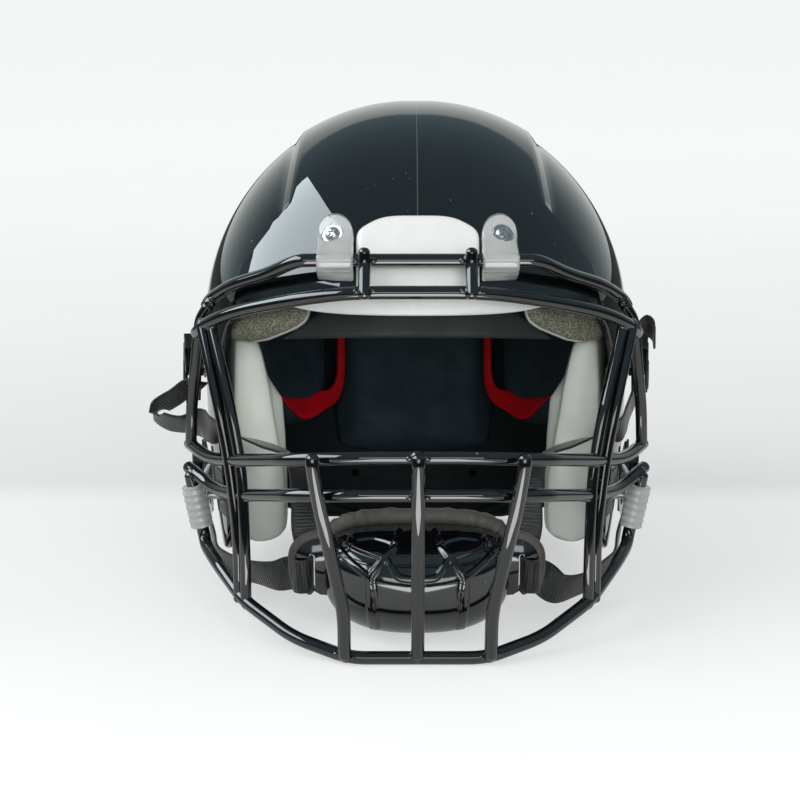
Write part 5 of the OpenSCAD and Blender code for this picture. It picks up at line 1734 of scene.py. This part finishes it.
@dataclass
class Guard:
    """Wires of the face guard, each a coated rod of its own, with beads at the welds."""

    r: float = WIRE_R
    brow_y: float = BROW_Y
    brow_z: float = BROW_Z
    drop: float = 13.5
    straight: float = 55.0
    post_x: float = 26.0
    nose_y: float = -NOSE_REACH
    nose_z: float = 109.0
    nose_drop: float = 18.5
    top_x: float = 50.0
    foot_x: float = 36.0
    half_w: float = LOOP_TOP[0]

    def routes(self) -> dict[str, list[tuple[Array, float, tuple[float, float, float]]]]:
        """Path, radius and up direction of every wire, by node."""
        r, by, bz, ny, nz, w = self.r, self.brow_y, self.brow_z, self.nose_y, self.nose_z, self.half_w
        low_y, low_z, lo = by - 11, bz - self.drop, nz - self.nose_drop
        up, out = (0, 0, 1), (1, 0, 0)
        arm = both_sides([(self.straight - 5, by, bz), (self.straight + 4, by, bz), (74, -100, bz - 9),
                          (94, -81, 177.5), (106, -65, 168), (109, -60, 163)])
        sides: dict[str, list] = {
            "brow_wire_upper": [(rounded(arm, 9), r, up)],
            "brow_wire_lower": [(rounded(both_sides([(32, low_y, low_z - 0.5), (62, low_y + 10, 176),
                                                     (92, low_y + 31, 166.5), (109, -78, 156.5),
                                                     (114, -66, 150)]), 16), r, up)],
            "brow_posts": [(spline(np.array([(s * self.post_x, by - 2 * r + 0.3, bz + 5),
                                             (s * self.post_x, by - 2 * r - 0.6, bz - 2),
                                             (s * self.post_x, low_y - 3, low_z - 1)]), 2), r - 0.35, out)
                           for s in (-1, 1)],
            "nose_wire_upper": [(rounded(both_sides([(30, ny, nz), (60, ny + 10, nz - 3.5),
                                                     (88, ny + 54, nz - 16), (108, ny + 87, 84.5),
                                                     (w + 1, -50, 86)]), 16), r, up)],
            "nose_wire_lower": [(rounded(both_sides([(30, ny, lo), (60, ny + 10, lo - 3), (90, ny + 61, 72.5),
                                                     (106, ny + 88, 68), (w + 1.5, -54, 74)]), 12), r, up)],
            "chin_wire": [(rounded(both_sides([(self.foot_x - 2, -150, r), (62, -139, 10), (88, -115, 20.5),
                                               (105.5, -82, 30.5), (112, -66, 34), LOOP_FOOT, LOOP_TOP]), 9), r, up)],
            "front_upright_centre": [(self.upright(0, 0, 1), r - 0.05, out)],
        }
        for side in Side:
            k = side.value
            sides[f"front_upright_{side.word}"] = [(self.upright(self.top_x, self.foot_x, k), r - 0.05, out)]
            path = rounded([(k * x, y, z) for x, y, z in
                            ((108, -68, 163.5), (112.5, -66, 156), (115.5, -61, 132), (w - 1, -55, 108),
                             (w, -54, 88))], 8)
            sides[f"outer_upright_{side.word}"] = [(path, r - 0.3, out)]
            twins = []
            for n in (0, 1):
                pts = ((110.5 - 5.6 * n, -76 - 4.2 * n, 156), (101.5 - 6.5 * n, -93 - 5 * n, 120),
                       (95.5 - 6.5 * n, -99 - 6 * n, 88), (91.5 - 4 * n, -106 - 5 * n, 55),
                       (91 - 4 * n, -110.5 - 5 * n, 20))
                twins.append((rounded([(k * x, y, z) for x, y, z in pts], 14), r - 0.5, out))
            sides[f"inner_uprights_{side.word}"] = twins
        return sides

    def upright(self, top: float, foot: float, k: int) -> Array:
        """Path of one of the three front uprights."""
        ny, nz = self.nose_y, self.nose_z
        pts = ((top, ny - 4.6, nz + 0.6), (top, ny - 5.4, nz - 4),
               (top * 0.8 + foot * 0.2, ny - 4, nz - self.nose_drop - 4), (foot, -158, 30), (foot, -152, 5.6))
        return rounded([(k * x, y, z) for x, y, z in pts], 10)

    def crossings(self, a: Array, b: Array, reach: float) -> list[Weld]:
        """Places where two paths pass within a reach of each other, with both directions."""
        fine_a, fine_b = (self.dense(p) for p in (a, b))
        gap = np.linalg.norm(fine_a[:, None] - fine_b[None], axis=-1)
        found: list[Weld] = []
        for i, j in sorted(zip(*np.nonzero(gap < reach)), key=lambda ij: gap[ij]):
            spot = (fine_a[i] + fine_b[j]) / 2
            if all(np.linalg.norm(spot - f[0]) > 12 for f in found):
                found.append((spot, headings(fine_a)[i], headings(fine_b)[j]))
        return found

    def dense(self, path: Array) -> Array:
        """Path with a point about every millimetre and a half."""
        out = []
        for p, q in zip(path, path[1:]):
            n = max(1, int(np.linalg.norm(q - p) / 1.5))
            out += [p + (q - p) * k / n for k in range(n)]
        return np.array(out + [path[-1]])

    def build(self) -> None:
        """Builds and finishes every wire, with the beads of its welds."""
        routes = self.routes()
        beads: dict[str, list[Weld]] = {n: [] for n in routes}
        for a, b in combinations(routes, 2):
            for (pa, ra, _), (pb, rb, _) in product(routes[a], routes[b]):
                beads[b] += self.crossings(pa, pb, ra + rb + 0.6)
        for name, wires in routes.items():
            form = Form()
            for path, r, up in wires:
                tube(form, path, r, 24, up)
            for at, da, db in beads[name]:
                n = np.cross(da, db)
                n = unit(n) if np.linalg.norm(n) > 0.2 else carried(da[None], (0, 0, 1))[0]
                mix = unit(da + db) if np.dot(da, db) >= 0 else unit(da - db)
                ball(form, at, (mix * self.r * 1.28, np.cross(n, mix) * self.r * 1.12, n * self.r * 0.95))
                for way in (da, -da):
                    ball(form, at + way * (self.r + 0.9) - n * 0.6, (da * 1.9, np.cross(n, da) * 1.5, n * 1.6), 12, 7)
            dress(form.build(f"{name}_rod", sharp=50), GUARD_COAT, "guard_wire", name, body=Body.GUARD.value)


@dataclass
class SideClips:
    """Clear clips that hold the guard's side loops under the jaw flap screws."""

    plate_x: float = 111.31
    plate: float = 3.0
    low: float = 43.0
    high: float = 71.0
    screw_y: float = -48.0
    screw_z: float = 57.0

    def build(self, side: Side) -> Piece:
        """Builds one clip: ribbed sleeve round the loop and a slotted plate."""
        way = unit(LOOP_TOP - LOOP_FOOT)
        mid = (LOOP_TOP + LOOP_FOOT) / 2
        form = Form()
        z = np.linspace(self.low + 0.2, self.high - 5.2, 49)
        path = mid + way * ((z - mid[2]) / way[2])[:, None]
        rib = 6.23 - 0.35 * (0.5 - 0.5 * np.cos((z - z[0]) / (z[-1] - z[0]) * 2 * math.pi * 6))
        rib[[0, -1]] = 5.4
        sweep(form, path, rib[:, None, None] * circle(40), np.tile([0.0, 1.0, 0.0], (len(path), 1)))
        sleeve = form.build("sleeve")
        plate = box((self.plate, 25, self.high - self.low),
                    packed((self.plate_x + self.plate / 2, -47.5, (self.low + self.high) / 2)))
        carved(plate, peg(2.9, 50, 48, (self.plate_x, self.screw_y, self.screw_z)))
        bevelled(plate, 1.1, 4, 40)
        obj = joined(f"side_clip_{side.word}_sleeve", [sleeve, plate])
        if side is Side.LEFT:
            obj.scale = (-1, 1, 1)
            settle(obj)
            outward(obj.data)
        shade(obj, 40)
        return obj

    def dress(self) -> None:
        """Builds and finishes both clips and their screws."""
        screws = []
        for side in Side:
            dress(self.build(side), CLIP_CLEAR, "clear_clip", f"side_clip_{side.word}", body=Body.GUARD.value)
            at = np.array([side.value * (self.plate_x + self.plate + 0.3), self.screw_y, self.screw_z])
            screws.append(Screw(shank=10.0).build(f"screw_{side.word}", at, np.array([side.value, 0.0, 0.0])))
        dress(joined("side_clip_screw_pair", screws), STEEL, "steel", "side_clip_screws")


# ---- studio ----


@dataclass
class Studio:
    """Camera, floor, world and lamps."""

    camera_at: tuple[float, float, float] = (-0.0087, -0.99527, 0.340)
    pitch: float = 13.5
    lens: float = 83.34
    floor_r: float = 16.0
    # Floor glow by depth: painted light, brightest in front of the object and darkest in a narrow band just behind it.
    tones: tuple[tuple[float, float], ...] = (
        (-0.45, 0.66), (-0.22, 0.60), (-0.05, 0.51), (0.145, 0.50), (0.185, 0.40), (0.7, 0.52), (1.5, 0.62),
        (2.4, 0.66))

    def camera(self) -> None:
        """Puts the camera at the photograph's angle."""
        data = bpy.data.cameras.new("camera")
        data.lens, data.sensor_width, data.clip_start, data.clip_end = self.lens, 36.0, 0.02, 80.0
        obj = placed("camera", data)
        obj.location = self.camera_at
        obj.rotation_euler = (math.radians(90 - self.pitch), 0, 0)
        bpy.context.scene.camera = obj

    def floor(self) -> None:
        """Lays the pale floor, which keeps the object's shadow; its glow, brighter in front of the object and darker
        in a band behind it, is painted light, and glossy rays see a glowing sheet before the object and a dark floor
        round it, a painted reflection.
        """
        bpy.ops.mesh.primitive_circle_add(vertices=128, radius=self.floor_r, fill_type="NGON")
        obj = bpy.context.object
        obj.name = "floor"
        mat = bpy.data.materials.new("floor_sweep")
        mat.use_nodes = True
        g = Graph(mat.node_tree)
        g.tree.nodes.clear()
        x, y, _ = g.split(g.coords())
        mottle = g.span(g.noise(g.coords(), 9.0, 3.0), 0.3, 0.7)
        pale = g.blend(mottle, linear((190, 192, 191)), linear((186, 189, 188)))
        # painted light: the glow follows the depth of the floor, brighter in front of the object and darker in a band
        # behind it
        ramp = g.node("ShaderNodeValToRGB", {0: g.span(y, -0.5, 2.5)})
        stops = ramp.color_ramp.elements
        for k, (at, tone) in enumerate(self.tones):
            stop = stops[k] if k < 2 else stops.new((at + 0.5) / 3.0)
            stop.position, stop.color = (at + 0.5) / 3.0, (tone * 0.985, tone * 1.005, tone, 1.0)
        path = g.node("ShaderNodeLightPath")
        # painted reflection: glossy rays see the glow only on a sheet in front of the object, and a dark floor round
        # it
        painted_reflection_sheet = g.times(g.span(g.math("ABSOLUTE", x), 0.42, 0.60, 1.0, 0.08), g.span(y, -1.15, -0.95, 0.10, 1.0))
        mirrored = g.times(path.outputs["Is Glossy Ray"], g.times(painted_reflection_sheet, 0.45))
        seen = g.math("MAXIMUM", path.outputs["Is Camera Ray"], path.outputs["Is Transmission Ray"])
        glow = g.node("ShaderNodeEmission", {"Color": ramp.outputs[0], "Strength": g.math("MAXIMUM", seen, mirrored)})
        dark_in_reflections = g.times(path.outputs["Is Glossy Ray"], g.math("SUBTRACT", 1.0, painted_reflection_sheet))
        matt = g.node("ShaderNodeBsdfDiffuse", {"Color": g.blend(dark_in_reflections, pale, linear((40, 44, 45)))})
        both = g.node("ShaderNodeAddShader", {0: matt.outputs[0], 1: glow.outputs[0]})
        g.node("ShaderNodeOutputMaterial", {"Surface": both.outputs[0]})
        obj.data.materials.append(mat)

    def world(self) -> None:
        """White surroundings behind the object, and a dim room in front of it."""
        world = bpy.data.worlds.new("studio")
        bpy.context.scene.world = world
        world.use_nodes = True
        world.cycles.sampling_method = "NONE"
        g = Graph(world.node_tree)
        g.tree.nodes.clear()
        path = g.node("ShaderNodeLightPath")
        _, y, z = g.split(g.coords(source="Generated"))
        behind = g.math("POWER", g.span(y, 0.30, 0.95), 1.7)
        wall = g.times(behind, g.span(z, 0.52, 0.56, 1.0, 0.0))
        dim = g.times(g.span(z, 0.08, 0.22, 1.0, 0.0), g.span(y, 0.20, 0.35, 1.0, 0.0))
        dark = g.blend(dim, (0.17, 0.235, 0.27, 1.0), (0.03, 0.04, 0.05, 1.0))
        room, white, soft = (g.node("ShaderNodeBackground", {"Color": colour}) for colour in (
            g.blend(wall, dark, (0.62, 0.66, 0.63, 1.0)), linear((246, 248, 247)), (0.50, 0.50, 0.50, 1.0)))
        seen = g.math("MAXIMUM", path.outputs["Is Camera Ray"], path.outputs["Is Transmission Ray"])
        last = g.either(seen, g.either(path.outputs["Is Glossy Ray"], soft, room), white)
        g.node("ShaderNodeOutputWorld", {"Surface": last.outputs[0]})

    def lamp(self, name: str, at: Sequence[float], size: tuple[float, float], watts: float,
             look: Sequence[float] = (0, 0, 0.15), mirrored: bool = False,
             tint: Sequence[float] = (1, 1, 1), turn: float = 0.0) -> None:
        """Adds one softbox.

        Args:
            name: Name of the lamp.
            at: Its place in metres.
            size: Its width and height in metres.
            watts: Its power.
            look: Point that it faces.
            mirrored: Whether gloss alone shows it, or only the matt surfaces that it lights.
            tint: Its colour.
            turn: Its turn about its own axis in degrees.
        """
        data = bpy.data.lights.new(name, "AREA")
        data.shape, data.size, data.size_y, data.energy = "RECTANGLE", size[0], size[1], watts
        data.color = tint
        obj = placed(name, data)
        obj.location = at
        aim = (Vector(look) - Vector(at)).to_track_quat("-Z", "Y") @ Quaternion((0, 0, 1), math.radians(turn))
        obj.rotation_euler = aim.to_euler()
        obj.visible_camera = obj.visible_transmission = False
        obj.visible_diffuse, obj.visible_glossy = not mirrored, mirrored

    def build(self) -> None:
        """Builds the whole studio."""
        scene = bpy.context.scene
        scene.view_settings.view_transform = "Standard"
        self.camera()
        self.floor()
        self.world()
        for row in (("left_window", (-1.582, -0.699, 1.864), (3.04, 1.7), 78.0, (-0.588, -0.804, 1.864), True,
                     (0.86, 0.96, 1.0), 24.0),
                    ("floor_card", (0, -0.60, 0.004), (0.20, 0.70), 1.9, (0, -0.60, 1), True),
                    ("front_window", (0.1, -2.1, 0.55), (1.5, 0.4), 5.0, (0.1, 0, 0.25), True),
                    ("left_softbox", (-1.6, -0.9, 1.7), (1.4, 1.4), 18.0),
                    ("front_softbox", (0.9, -1.8, 1.3), (1.2, 1.0), 5.0),
                    ("low_softbox", (0.35, -2.2, 0.75), (1.6, 0.9), 13.0)):
            self.lamp(*row)


def main() -> None:
    """Builds the studio and then the helmet, piece by piece."""
    logging.basicConfig(level=logging.INFO, format="%(message)s")
    Studio().build()
    LOG.info("studio")
    shell = Shell()
    shell.dress(shell.build())
    LOG.info("shell")
    bumpers = Bumpers()
    bumpers.dress(bumpers.build())
    clips = TopClips()
    clips.dress([clips.build(side) for side in Side])
    LOG.info("bumpers and clips")
    Padding().build()
    cup = ChinCup()
    cup.dress(cup.build())
    LOG.info("chin cup")
    Straps().build()
    LOG.info("straps")
    Guard().build()
    SideClips().dress()
    LOG.info("face guard")


if __name__ == "__main__":
    main()
